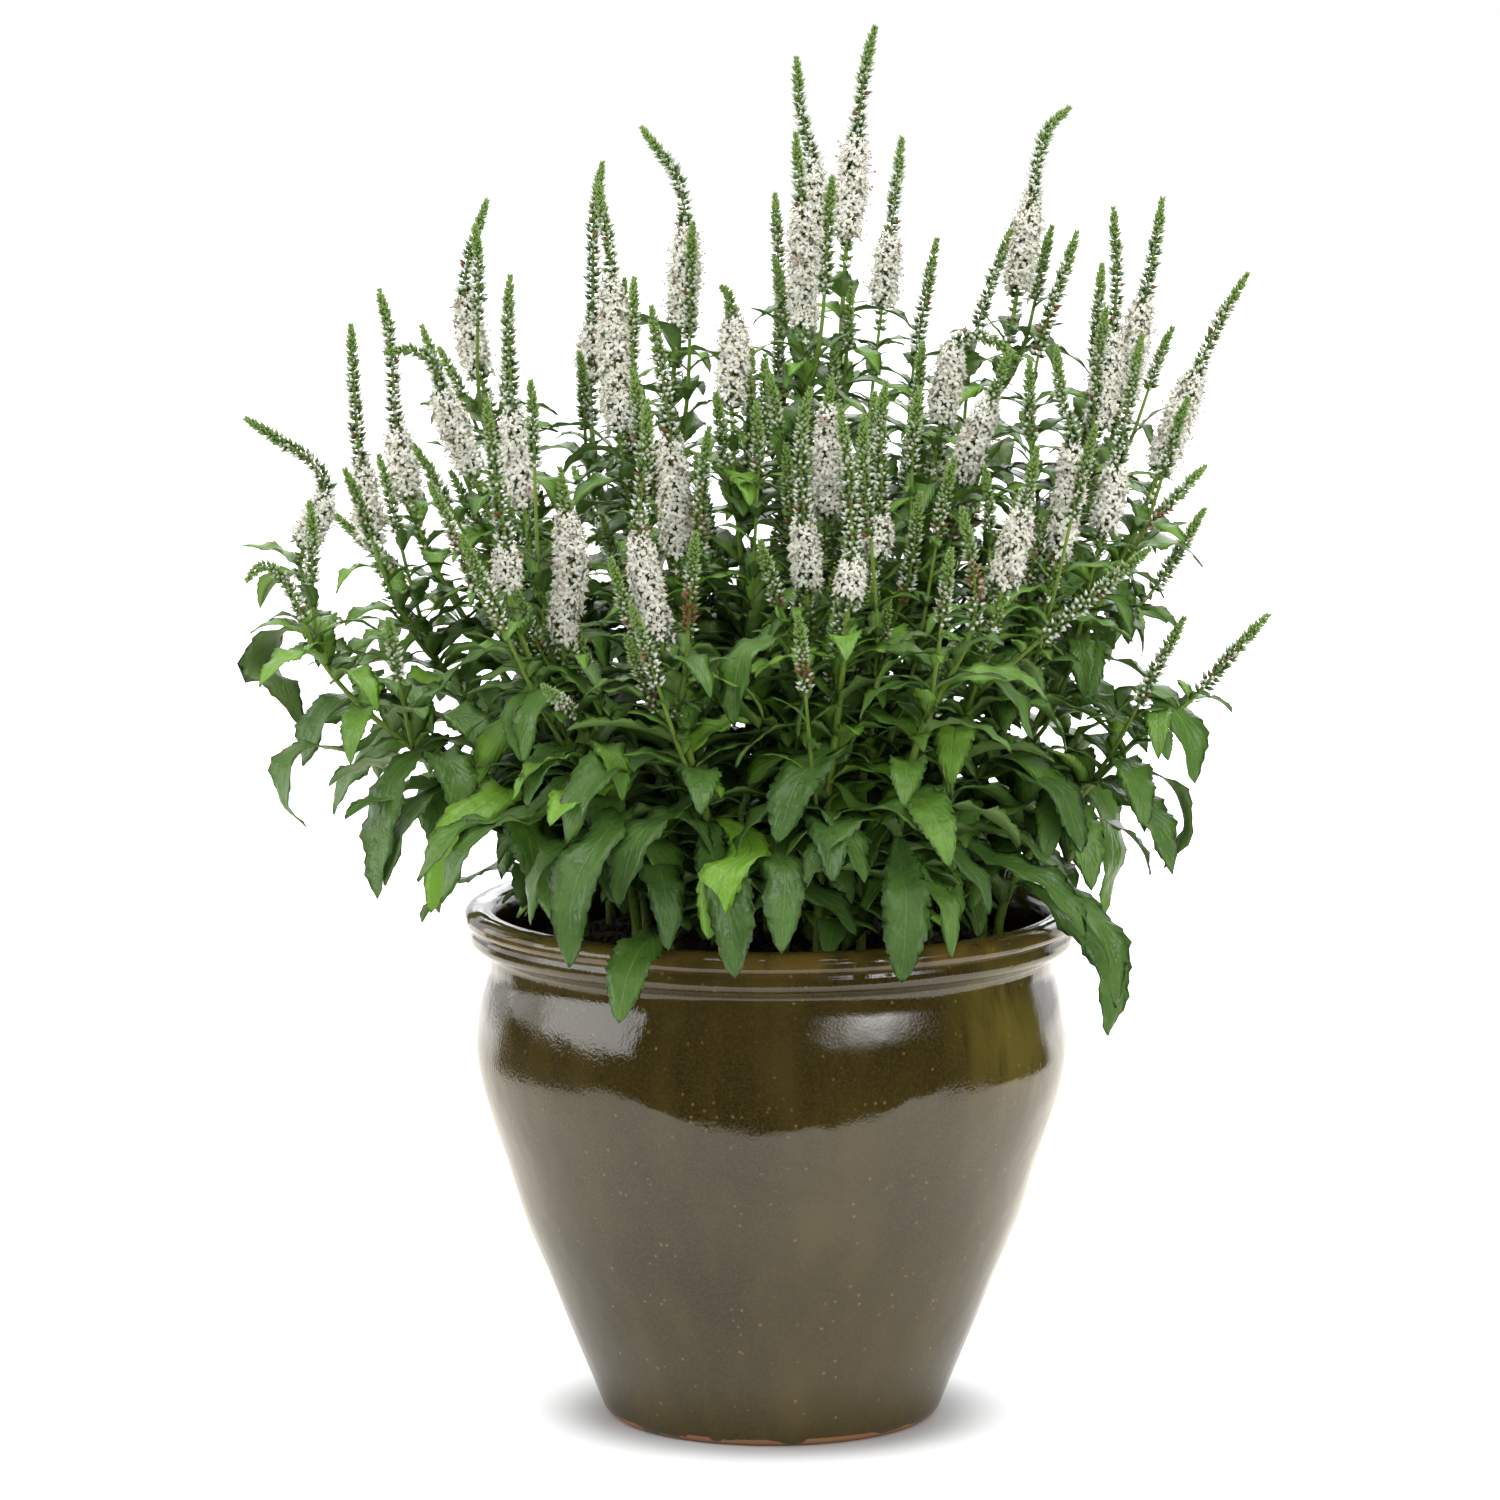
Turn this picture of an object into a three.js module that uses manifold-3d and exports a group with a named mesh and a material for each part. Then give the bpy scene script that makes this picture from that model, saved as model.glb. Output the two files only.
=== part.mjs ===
// White spike speedwell growing in a glazed ceramic pot.
// Millimetres, +Z up, front towards -Y. The origin is the centre of the pot's flat foot.
// Stems carry opposite toothed leaves, green budded spikes and white open blooms round them.

import * as THREE from 'three';
import { mergeVertices } from 'three/addons/utils/BufferGeometryUtils.js';
import Module from 'manifold-3d';

const wasm = await Module();
wasm.setup();

// Pot: the outside from foot to lip, and the wall that follows it inside.
const POT_HEIGHT = 260;
const FOOT_RADIUS = 82;
const WAIST_RADIUS = 124;
const WAIST_HEIGHT = 100;
const BELLY_RADIUS = 149.5;
const BELLY_HEIGHT = 192;
const NECK_RADIUS = 142;
const NECK_HEIGHT = 231;
const LIP_RADIUS = 154.5;
const WALL = 9;
const FLOOR = 12;
const POT_FACETS = 24;
const DRAIN_RADIUS = 7;
const DRAIN_CIRCLE = 44;
const DRAINS = 3;

// Soil: fills the pot to just below the lip, with a plain hole for each stem.
const SOIL_EDGE = 234;
const SOIL_CROWN = 242;
const SOIL_LUMP = 2.2;
const ROOT_DEPTH = 34;
const CLEARANCE = 0.38;

// Stems, leafy part and spikes.
const COLLAR = 247;
const STEM_RADIUS = 2.5;
const NECK_OF_SPIKE = 1.5;
const TWIG_RADIUS = 1.25;
const RACHIS_STEP = 32;
const BUD_RADIUS = 4.1;
const BUD_GROOVE = 0.84;
const BUD_STEP = 12;
const BLOOM_RADIUS = 9;
const BLOOM_GROOVE = 0.74;
const BLOOM_STEP = 8;
const BLOOM_SIDES = 6;
const TIP_GAP = 3;
const BELOW_BLOOM = 32;
const BARE_NECK = 12;

// Leaves: toothed, keeled along the midrib, arched over and drooping at the tip.
const LEAF_LOWEST = 84;
const LEAF_HIGHEST = 38;
const LEAF_SLENDER = 0.168;
const LEAF_KEEL = 0.24;
const BEND_EARLY = 0.9;
const LEAF_TOOTH = 0.09;
const BLADE_TOP = 0.55;
const BLADE_UNDER = 0.7;
const LEAF_BASE = 2.6;
const BASE_REACH = 3.4;
const PAIR_STEP = 50;
const FIRST_PAIR = 8;
const FIRST_ON_SHOOT = 34;
const SHOOT_LEAF = 0.72;
const OUTER_CIRCLE = 108;
const BARE_INSIDE = 130;
const LEAF_GAP = 0.45;
const TRIES = 15;
const FIRST_SEED = 977;
const SEED_STEP = 131;
const BLADE_DETAIL = [
  { from: 63, teeth: 6, ribs: 2 },
  { from: 42, teeth: 4, ribs: 2 },
  { from: 0, teeth: 3, ribs: 1 },
];

const glaze = new THREE.MeshStandardMaterial({ color: 0x4a3d1c, roughness: 0.15, metalness: 0 });
const earth = new THREE.MeshStandardMaterial({ color: 0x2b2018, roughness: 0.95, metalness: 0 });
const foliage = new THREE.MeshStandardMaterial({ color: 0x4a7a33, roughness: 0.55, metalness: 0 });
const petals = new THREE.MeshStandardMaterial({ color: 0xf1efe9, roughness: 0.6, metalness: 0 });

// Each stem: its foot in the soil, the points its spike passes from base to tip, and how far
// below the tip its white bloom reaches (from, to), or how long its green spike is.
// Shoots leave it at a distance along the stem and end at a tip; some have a bloom too.
const STEMS = [
  {
    foot: [-104, -14],
    spine: [[-234, -20, 431], [-221, -25, 471], [-227, -28, 485], [-240, -30, 494], [-259, -35, 507]],
    white: [56, 88],
    shoots: [],
  },
  {
    foot: [-98, -50],
    spine: [[-222, -70, 393], [-238, -78, 431], [-249, -82, 440], [-256, -86, 434]],
    green: 46,
    shoots: [
      { from: 165, tip: [-227, -58, 468], green: 40 },
      { from: 120, tip: [-186, -122, 419], green: 44 },
    ],
  },
  {
    foot: [-94, 24],
    spine: [[-198, 60, 423], [-208, 70, 473], [-212, 78, 520], [-213, 80, 542]],
    white: [70, 112],
    shoots: [
      { from: 170, tip: [-214, 32, 474], green: 38 },
      { from: 190, tip: [-200, 96, 474], green: 42 },
    ],
  },
  {
    foot: [-82, 60],
    spine: [[-181, 110, 436], [-192, 122, 486], [-196, 130, 534], [-201, 134, 555]],
    white: [70, 108],
    shoots: [
      { from: 150, tip: [-225, 130, 440], green: 46 },
    ],
  },
  {
    foot: [-68, 4],
    spine: [[-147, 30, 465], [-164, 25, 510], [-170, 22, 530], [-180, 18, 536], [-192, 14, 535]],
    white: [40, 86],
    shoots: [
      { from: 200, tip: [-176, 54, 544], green: 46 },
      { from: 180, tip: [-178, 6, 489], green: 34 },
    ],
  },
  {
    foot: [-62, -34],
    spine: [[-116, -40, 421], [-122, -40, 463], [-128, -38, 517], [-130, -34, 556], [-129, -32, 577]],
    white: [65, 114],
    shoots: [
      { from: 190, tip: [-118, -72, 529], green: 44 },
    ],
  },
  {
    foot: [-66, -74],
    spine: [[-127, -110, 427], [-130, -115, 461], [-135, -118, 496], [-138, -120, 525]],
    green: 96,
    shoots: [
      { from: 130, tip: [-165, -132, 486], green: 60 },
      { from: 120, tip: [-149, -160, 464], green: 60 },
    ],
  },
  {
    foot: [-58, 92],
    spine: [[-146, 150, 496], [-156, 160, 532], [-158, 164, 560], [-147, 170, 598]],
    white: [50, 94],
    shoots: [
      { from: 240, tip: [-152, 138, 587], green: 52 },
      { from: 225, tip: [-136, 130, 535], green: 34 },
      { from: 230, tip: [-172, 176, 521], green: 36 },
      { from: 120, tip: [-176, 205, 440], green: 58 },
    ],
  },
  {
    foot: [-34, 112],
    spine: [[-93, 190, 472], [-93, 205, 543], [-92, 210, 588], [-88, 214, 614]],
    green: 140,
    shoots: [
      { from: 210, tip: [-99, 160, 520], green: 40 },
      { from: 240, tip: [-76, 172, 557], green: 50 },
      { from: 110, tip: [-104, 236, 452], green: 62 },
    ],
  },
  {
    foot: [-38, 34],
    spine: [[-76, 60, 481], [-80, 68, 531], [-82, 74, 581], [-88, 80, 614]],
    white: [47, 126],
    shoots: [
      { from: 220, tip: [-70, 104, 564], green: 42 },
    ],
  },
  {
    foot: [-28, -24],
    spine: [[-47, -60, 436], [-50, -64, 503], [-55, -64, 539], [-59, -66, 565]],
    white: [63, 124],
    shoots: [
      { from: 185, tip: [-69, -28, 530], green: 46 },
      { from: 180, tip: [-31, -97, 509], green: 60 },
    ],
  },
  {
    foot: [-18, 74],
    spine: [[-51, 130, 503], [-47, 134, 535], [-44, 140, 588], [-48, 142, 611], [-66, 145, 637]],
    white: [55, 108],
    shoots: [
      { from: 235, tip: [-40, 98, 592], green: 62 },
    ],
  },
  {
    foot: [-2, 8],
    spine: [[-20, 20, 501], [-20, 20, 554], [-22, 16, 564], [-25, 10, 568]],
    white: [20, 66],
    shoots: [
      { from: 220, tip: [-10, 46, 533], green: 34 },
      { from: 210, tip: [-28, -12, 517], green: 40 },
    ],
  },
  {
    foot: [10, 108],
    spine: [[19, 160, 543], [21, 170, 619], [15, 172, 645], [13, 174, 671]],
    white: [53, 120],
    shoots: [
      { from: 170, tip: [2, 208, 598], green: 66 },
      { from: 275, tip: [2, 146, 569], green: 30 },
      { from: 100, tip: [18, 240, 455], green: 64 },
    ],
  },
  {
    foot: [16, 44],
    spine: [[16, 60, 534], [15, 64, 605], [13, 66, 627], [12, 66, 640]],
    white: [36, 98],
    shoots: [
      { from: 250, tip: [30, 30, 621], green: 60 },
    ],
  },
  {
    foot: [34, 76],
    spine: [[34, 90, 506], [38, 96, 583], [43, 100, 637], [49, 104, 679], [52, 104, 691]],
    white: [55, 110],
    shoots: [
      { from: 110, bend: [[54, 196, 510], [61, 205, 567]], tip: [68, 212, 627], white: [50, 88] },
      { from: 245, tip: [40, 66, 562], green: 32 },
    ],
  },
  {
    foot: [-22, -98],
    spine: [[-53, -150, 408], [-64, -158, 466], [-60, -160, 511], [-60, -160, 529]],
    white: [63, 118],
    shoots: [
      { from: 120, tip: [-37, -182, 468], green: 52 },
      { from: 100, tip: [-67, -196, 435], green: 52 },
    ],
  },
  {
    foot: [6, -60],
    spine: [[17, -100, 426], [15, -104, 467], [14, -106, 509], [18, -106, 529]],
    white: [62, 99],
    shoots: [
      { from: 150, tip: [-6, -140, 459], green: 40 },
      { from: 170, tip: [-8, -66, 518], green: 34 },
    ],
  },
  {
    foot: [28, -12],
    spine: [[27, -30, 451], [28, -30, 512], [29, -30, 526]],
    white: [14, 69],
    shoots: [
      { from: 190, tip: [-2, -12, 528], green: 30 },
    ],
  },
  {
    foot: [22, -102],
    spine: [[36, -150, 427], [38, -152, 461], [36, -154, 495], [32, -154, 526]],
    green: 100,
    shoots: [
      { from: 150, tip: [44, -124, 518], green: 60 },
      { from: 110, tip: [12, -188, 430], green: 46 },
    ],
  },
  {
    foot: [44, -48],
    spine: [[49, -80, 435], [53, -82, 472], [53, -84, 514], [55, -84, 530]],
    white: [64, 88],
    shoots: [
      { from: 170, tip: [50, -58, 522], green: 44 },
      { from: 130, tip: [56, -122, 428], green: 36 },
      { from: 165, tip: [72, -52, 524], green: 40 },
      { from: 160, tip: [88, -100, 494], green: 40 },
    ],
  },
  {
    foot: [58, 18],
    spine: [[82, 20, 486], [89, 18, 526], [92, 14, 540], [103, 10, 544], [123, 4, 533]],
    white: [36, 80],
    shoots: [
      { from: 120, bend: [[71, 96, 510]], tip: [84, 108, 583], green: 60 },
      { from: 190, bend: [[94, -22, 480]], tip: [117, -28, 540], green: 72 },
    ],
  },
  {
    foot: [62, 88],
    spine: [[121, 120, 528], [133, 130, 600], [141, 136, 637], [152, 140, 648]],
    white: [52, 103],
    shoots: [
      { from: 130, bend: [[107, 180, 532]], tip: [126, 190, 585], green: 58 },
      { from: 255, tip: [142, 92, 591], green: 40 },
      { from: 100, tip: [112, 232, 446], green: 60 },
    ],
  },
  {
    foot: [88, 50],
    spine: [[162, 60, 484], [172, 66, 541], [174, 68, 571], [172, 70, 602]],
    white: [61, 111],
    shoots: [
      { from: 150, bend: [[133, 70, 521]], tip: [154, 80, 589], green: 68 },
      { from: 215, tip: [168, 102, 571], green: 52 },
      { from: 205, tip: [167, 30, 555], green: 54 },
    ],
  },
  {
    foot: [92, 86],
    spine: [[178, 140, 488], [192, 148, 550], [197, 152, 574], [201, 154, 600]],
    white: [51, 107],
    shoots: [
      { from: 210, tip: [204, 108, 538], green: 36 },
      { from: 130, tip: [226, 190, 458], green: 58 },
    ],
  },
  {
    foot: [106, 14],
    spine: [[189, 20, 463], [212, 22, 524], [225, 24, 553], [237, 26, 573]],
    white: [55, 108],
    shoots: [
      { from: 200, tip: [206, -10, 514], green: 44 },
      { from: 110, bend: [[162, -20, 443]], tip: [182, -26, 547], white: [63, 100] },
      { from: 130, bend: [[186, 40, 405]], tip: [218, 50, 452], green: 50 },
    ],
  },
  {
    foot: [86, -26],
    spine: [[138, -70, 437], [146, -76, 500], [140, -78, 526], [138, -80, 547]],
    white: [48, 105],
    shoots: [
      { from: 190, tip: [126, -48, 537], green: 40 },
      { from: 185, tip: [156, -108, 510], green: 50 },
      { from: 175, tip: [104, -64, 486], green: 34 },
    ],
  },
  {
    foot: [72, -72],
    spine: [[110, -120, 428], [121, -128, 474], [127, -132, 503]],
    white: [30, 70],
    shoots: [
      { from: 130, tip: [180, -152, 457], green: 74 },
    ],
  },
  {
    foot: [112, -40],
    spine: [[177, -50, 347], [203, -55, 367], [228, -60, 396], [243, -62, 413]],
    green: 52,
    shoots: [
      { from: 90, tip: [200, -96, 416], green: 56 },
    ],
  },
  {
    foot: [58, -108],
    spine: [[70, -150, 365], [96, -170, 424], [96, -172, 445], [90, -176, 479]],
    green: 60,
    shoots: [
      { from: 120, tip: [84, -204, 463], green: 44 },
    ],
  },
  {
    foot: [-50, -110],
    spine: [[-102, -100, 401], [-98, -102, 438], [-100, -104, 470], [-103, -104, 490]],
    white: [20, 86],
    shoots: [
      { from: 110, tip: [-110, -160, 392], green: 50 },
    ],
  },
];

// A repeatable run of numbers between 0 and 1.
function seeded(seed) {
  let state = (seed * 7919 * 104729) % 2147483647;
  return () => {
    state = (state * 16807) % 2147483647;
    return state / 2147483647;
  };
}

function vector([x, y, z]) {
  return new THREE.Vector3(x, y, z);
}

// A merged, indexed copy of a closed geometry, as a solid that can be joined and cut.
function solidOf(geometry) {
  const bare = geometry.clone();
  bare.deleteAttribute('normal');
  bare.deleteAttribute('uv');
  const merged = mergeVertices(bare, 1e-4);
  return new wasm.Manifold(new wasm.Mesh({
    numProp: 3,
    vertProperties: Float32Array.from(merged.attributes.position.array),
    triVerts: Uint32Array.from(merged.index.array),
  }));
}

function geometryOf(solid) {
  const mesh = solid.getMesh();
  const geometry = new THREE.BufferGeometry();
  geometry.setAttribute('position', new THREE.BufferAttribute(mesh.vertProperties, 3));
  geometry.setIndex(new THREE.BufferAttribute(mesh.triVerts, 1));
  geometry.computeVertexNormals();
  return geometry;
}

function meshOf(name, solid, material) {
  const mesh = new THREE.Mesh(geometryOf(solid), material);
  mesh.name = name;
  return mesh;
}

function rawGeometry(points, triangles) {
  const geometry = new THREE.BufferGeometry();
  const values = points.flatMap((point) => [point.x, point.y, point.z]);
  geometry.setAttribute('position', new THREE.Float32BufferAttribute(values, 3));
  geometry.setIndex(triangles);
  return geometry;
}

// A smooth curve through points that starts along a given heading.
function curveThrough(points, start) {
  const headings = points.map((point, i) => {
    if (i === 0) return start.clone().normalize();
    const arriving = point.clone().sub(points[i - 1]).normalize();
    if (i === points.length - 1) return arriving;
    return points[i + 1].clone().sub(point).normalize().add(arriving).normalize();
  });
  const curve = new THREE.CurvePath();
  for (let i = 1; i < points.length; i++) {
    const reach = points[i].distanceTo(points[i - 1]) / 3;
    const leave = points[i - 1].clone().addScaledVector(headings[i - 1], reach);
    const arrive = points[i].clone().addScaledVector(headings[i], -reach);
    curve.add(new THREE.CubicBezierCurve3(points[i - 1], leave, arrive, points[i]));
  }
  return curve;
}

// The place, and the two directions across the curve, at a distance along it.
function stationFrame(curve, distance) {
  const length = curve.getLength();
  const along = THREE.MathUtils.clamp(distance / length, 0, 1);
  const place = curve.getPoint(along);
  const ahead = curve.getPoint(Math.min(along + 1 / length, 1));
  const behind = curve.getPoint(Math.max(along - 1 / length, 0));
  const tangent = ahead.sub(behind).normalize();
  const across = new THREE.Vector3(0, 1, 0).cross(tangent).normalize();
  return { place, tangent, across, over: tangent.clone().cross(across) };
}

// A body is a growing list of points and triangles that ends as one closed skin.
function newBody() {
  return { points: [], triangles: [] };
}

function addPoint(body, point) {
  body.points.push(point);
  return body.points.length - 1;
}

// A ring of corners across the curve: every second one is drawn in to the share low of the radius.
function addRing(body, frame, { radius, low = 1, turn = 0 }, sides) {
  return Array.from({ length: sides }, (_, j) => {
    const angle = ((j + turn) / sides) * Math.PI * 2;
    const reach = j % 2 ? radius * low : radius;
    return addPoint(body, frame.place.clone()
      .addScaledVector(frame.across, reach * Math.cos(angle))
      .addScaledVector(frame.over, reach * Math.sin(angle)));
  });
}

// Skins the space between two rings. Where a face has an outgrowth, the outgrowth starts
// from the face's four corners in place of the face.
function addWall(body, lower, upper, outgrowths = []) {
  lower.forEach((corner, j) => {
    const next = (j + 1) % lower.length;
    const grow = outgrowths[j];
    if (grow) grow([corner, lower[next], upper[next], upper[j]]);
    else body.triangles.push(corner, lower[next], upper[next], corner, upper[next], upper[j]);
  });
}

function addPeak(body, ring, peak) {
  ring.forEach((corner, j) => body.triangles.push(corner, ring[(j + 1) % ring.length], peak));
}

function addCap(body, ring, facesUp) {
  for (let j = 2; j < ring.length; j++) {
    const face = [ring[0], ring[j - 1], ring[j]];
    body.triangles.push(...(facesUp ? face : face.reverse()));
  }
}

// A plain closed tube through stations of { at, radius, low, turn }.
function tube(curve, stations, sides) {
  const body = newBody();
  const rings = stations.map((station) => addRing(body, stationFrame(curve, station.at), station, sides));
  for (let i = 1; i < rings.length; i++) addWall(body, rings[i - 1], rings[i]);
  addCap(body, rings[0], false);
  addCap(body, rings[rings.length - 1], true);
  return rawGeometry(body.points, body.triangles);
}

function spread(from, to, step) {
  const count = Math.max(1, Math.round((to - from) / step));
  return Array.from({ length: count + 1 }, (_, i) => from + ((to - from) * i) / count);
}

// The budded green spike: rings of buds turned against each other, narrowing to the tip.
function budStations(axis) {
  const from = axis.bloomEnd + TIP_GAP;
  const ends = spread(from + 4, axis.length, BUD_STEP).slice(0, -1);
  return ends.map((at, i) => {
    const done = (at - from) / (axis.length - from);
    const radius = BUD_RADIUS * Math.pow(1 - done, 0.55) * (i % 2 ? BUD_GROOVE : 1);
    return { at, radius, turn: axis.turn + (i % 2 ? 0.5 : 0) };
  });
}

// The white bloom: florets standing out in a lattice all round, with the stalk's bore through it.
function bloomSolid(axis) {
  const levels = spread(axis.bloomStart, axis.bloomEnd, BLOOM_STEP);
  const stations = levels.map((at, i) => {
    const done = i / (levels.length - 1);
    const swell = 0.62 + 0.38 * Math.sin(Math.PI * Math.min(1, 0.12 + done * 0.8));
    return { at, radius: BLOOM_RADIUS * swell, low: BLOOM_GROOVE, turn: i % 2 ? 1 : 0 };
  });
  const bore = axis.stalk.map((at) => {
    return { at, radius: axis.radiusAt(at) + CLEARANCE * Math.SQRT2, turn: axis.turn };
  });
  const outside = solidOf(tube(axis.curve, stations, BLOOM_SIDES));
  return outside.subtract(solidOf(tube(axis.curve, bore, 4)));
}

// A stem or shoot as an axis: its curve, where its bloom and spike lie, and its leafy levels.
function makeAxis(plan, curve, radius, firstLevel, turn, draw) {
  const length = curve.getLength();
  const bloomEnd = length - (plan.white ? plan.white[0] : plan.green);
  const bloomStart = length - (plan.white ? plan.white[1] : plan.green);
  const taper = (at) => radius + (NECK_OF_SPIKE - radius) * Math.min(1, at / bloomStart);
  const radiusAt = radius < NECK_OF_SPIKE ? () => radius : taper;
  const stalkStart = bloomStart - TIP_GAP;
  const stalk = plan.white ? spread(stalkStart, bloomEnd + TIP_GAP, RACHIS_STEP) : [stalkStart];
  const levels = [];
  for (let at = firstLevel; at < bloomStart - BARE_NECK; at += PAIR_STEP * (0.8 + draw() * 0.4)) {
    levels.push({ at, shoots: [], leaves: [] });
  }
  return { plan, curve, turn, length, bloomEnd, bloomStart, radiusAt, stalk, levels };
}

// The rings of an axis up to its spike. At a leafy level two rings lie a leaf base apart, and a
// third follows where a shoot leaves just above the leaves. Each ring has its faces' outgrowths.
function axisStations(body, axis) {
  const stations = [];
  axis.levels.forEach((level) => {
    const grow = [];
    level.leaves.forEach((leaf) => {
      grow[leaf.face] = (corners) => addBlade(body, corners, leaf);
    });
    const growAbove = [];
    level.shoots.forEach((shoot) => {
      growAbove[shoot.face] = (corners) => addAxis(body, corners, shoot);
    });
    if (level.leaves.length) stations.push({ at: level.at, grow });
    stations.push({ at: level.at + LEAF_BASE, grow: growAbove });
    if (level.shoots.length) stations.push({ at: level.at + 2 * LEAF_BASE });
  });
  const rings = [...stations, ...axis.stalk.map((at) => ({ at }))];
  return rings.map((ring) => ({ ...ring, radius: axis.radiusAt(ring.at), turn: axis.turn }));
}

// Grows an axis on from a ring of corners that is already there, up to its closed tip.
function addAxis(body, corners, axis) {
  const stations = [...axisStations(body, axis), ...budStations(axis)];
  let lower = null;
  let grow = [];
  for (const station of stations) {
    const ring = addRing(body, stationFrame(axis.curve, station.at), station, corners.length);
    addWall(body, lower ?? turnedToMeet(body, corners, ring), ring, grow);
    lower = ring;
    grow = station.grow ?? [];
  }
  addPeak(body, lower, addPoint(body, stationFrame(axis.curve, axis.length).place));
}

// The corners below a ring, started at the one that lies nearest to the ring's first corner.
function turnedToMeet(body, below, ring) {
  const turned = (shift) => ring.map((_, j) => below[(j + shift) % below.length]);
  const apart = (shift) => turned(shift).reduce((sum, corner, j) => {
    return sum + body.points[corner].distanceTo(body.points[ring[j]]);
  }, 0);
  const shifts = ring.map((_, shift) => shift);
  return turned(shifts.reduce((a, b) => (apart(b) < apart(a) ? b : a)));
}

// A stem's curve above the soil, and each shoot's curve from the place it leaves the stem.
function stemCurve(plan) {
  const collar = new THREE.Vector3(plan.foot[0], plan.foot[1], COLLAR);
  return curveThrough([collar, ...plan.spine.map(vector)], new THREE.Vector3(0, 0, 1));
}

function shootCurve(parent, plan, from) {
  const { place } = stationFrame(parent, from);
  const tip = vector(plan.tip);
  const outward = tip.clone().sub(place).setZ(0).normalize();
  const start = outward.multiplyScalar(0.8).add(new THREE.Vector3(0, 0, 0.7));
  return curveThrough([place, ...(plan.bend ?? []).map(vector), tip], start);
}

// The direction a face of a stem looks in, at a distance along it.
function faceDirection(axis, at, face) {
  const { across, over } = stationFrame(axis.curve, at);
  const angle = (face + 0.5 + axis.turn) * (Math.PI / 2);
  return across.multiplyScalar(Math.cos(angle)).addScaledVector(over, Math.sin(angle));
}

// How far a stem's corners are turned for its first face to look out over the pot's lip.
function outwardTurn([x, y]) {
  return Math.atan2(y, x) / (Math.PI / 2) - 0.5;
}

// A stem with its shoots, each set just above the level of leaves nearest to its place.
function makeStem(plan, index) {
  const draw = seeded(FIRST_SEED + index * SEED_STEP);
  const shaded = Math.max(0, 1 - Math.hypot(...plan.foot) / OUTER_CIRCLE) * BARE_INSIDE;
  const firstLevel = FIRST_PAIR + shaded + draw() * PAIR_STEP * 0.7;
  const stem = makeAxis(plan, stemCurve(plan), STEM_RADIUS, firstLevel, outwardTurn(plan.foot), draw);
  for (const shootPlan of plan.shoots) {
    const gap = (level) => Math.abs(level.at - shootPlan.from) + PAIR_STEP * level.shoots.length;
    const wellBelow = stem.levels.filter((level) => level.at < stem.bloomStart - BELOW_BLOOM);
    const level = wellBelow.reduce((a, b) => (gap(b) < gap(a) ? b : a));
    const from = level.at + 1.5 * LEAF_BASE;
    const curve = shootCurve(stem.curve, shootPlan, from);
    const leaving = stationFrame(curve, 6).place.sub(stationFrame(curve, 0).place);
    const free = [0, 1, 2, 3].filter((face) => level.shoots.every((shoot) => shoot.face !== face));
    const facing = (face) => faceDirection(stem, from, face).dot(leaving);
    const face = free.reduce((a, b) => (facing(b) > facing(a) ? b : a));
    const firstLeaves = shootPlan.bend ? FIRST_ON_SHOOT : Infinity;
    level.shoots.push({ ...makeAxis(shootPlan, curve, TWIG_RADIUS, firstLeaves, 0, draw), face });
  }
  return { ...stem, draw };
}

// The stem with everything on it as one closed skin, from the bottom of its root.
function stemSolid(stem) {
  const body = newBody();
  const [x, y] = stem.plan.foot;
  const rootFrame = {
    place: new THREE.Vector3(x, y, SOIL_CROWN - ROOT_DEPTH),
    across: new THREE.Vector3(1, 0, 0),
    over: new THREE.Vector3(0, 1, 0),
  };
  const collarFrame = { ...rootFrame, place: new THREE.Vector3(x, y, COLLAR) };
  const station = { radius: STEM_RADIUS, turn: stem.turn };
  const root = addRing(body, rootFrame, station, 4);
  const collar = addRing(body, collarFrame, station, 4);
  addCap(body, root, false);
  addWall(body, root, collar);
  addAxis(body, collar, stem);
  return solidOf(rawGeometry(body.points, body.triangles));
}

// The plain hole in the soil round a stem's straight root.
function holeSolid(plan) {
  const up = new THREE.Vector3(0, 0, 1);
  const bottom = new THREE.Vector3(plan.foot[0], plan.foot[1], SOIL_CROWN - ROOT_DEPTH - CLEARANCE);
  const top = new THREE.Vector3(plan.foot[0], plan.foot[1], COLLAR + 20);
  const curve = curveThrough([bottom, top], up);
  const bore = { radius: STEM_RADIUS + CLEARANCE * Math.SQRT2, turn: outwardTurn(plan.foot) };
  return solidOf(tube(curve, [{ ...bore, at: 0 }, { ...bore, at: curve.getLength() }], 4));
}

// A leaf's midrib, a share t along it: it leaves at the angle rise and ends at the angle -droop.
function midrib(leaf, t) {
  const steps = 16;
  let x = 0;
  let z = 0;
  for (let i = 0; i < steps; i++) {
    const share = (t * (i + 0.5)) / steps;
    const angle = leaf.rise - (leaf.rise + leaf.droop) * Math.pow(share, BEND_EARLY);
    x += (Math.cos(angle) * leaf.length * t) / steps;
    z += (Math.sin(angle) * leaf.length * t) / steps;
  }
  return { x, z, angle: leaf.rise - (leaf.rise + leaf.droop) * Math.pow(t, BEND_EARLY) };
}

function halfWidth(leaf, t) {
  return Math.max(1.2, leaf.length * LEAF_SLENDER * Math.pow(Math.sin(Math.PI * Math.pow(t, 0.72)), 0.85));
}

// A point of the blade: a share t along, a way across to the left, and lifted off the midrib.
function bladePoint(leaf, t, across, lift) {
  const { x, z, angle } = midrib(leaf, t);
  const out = x - lift * Math.sin(angle);
  return new THREE.Vector3(out, across, z + lift * Math.cos(angle))
    .applyAxisAngle(new THREE.Vector3(0, 0, 1), leaf.turn)
    .add(leaf.place);
}

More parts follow.
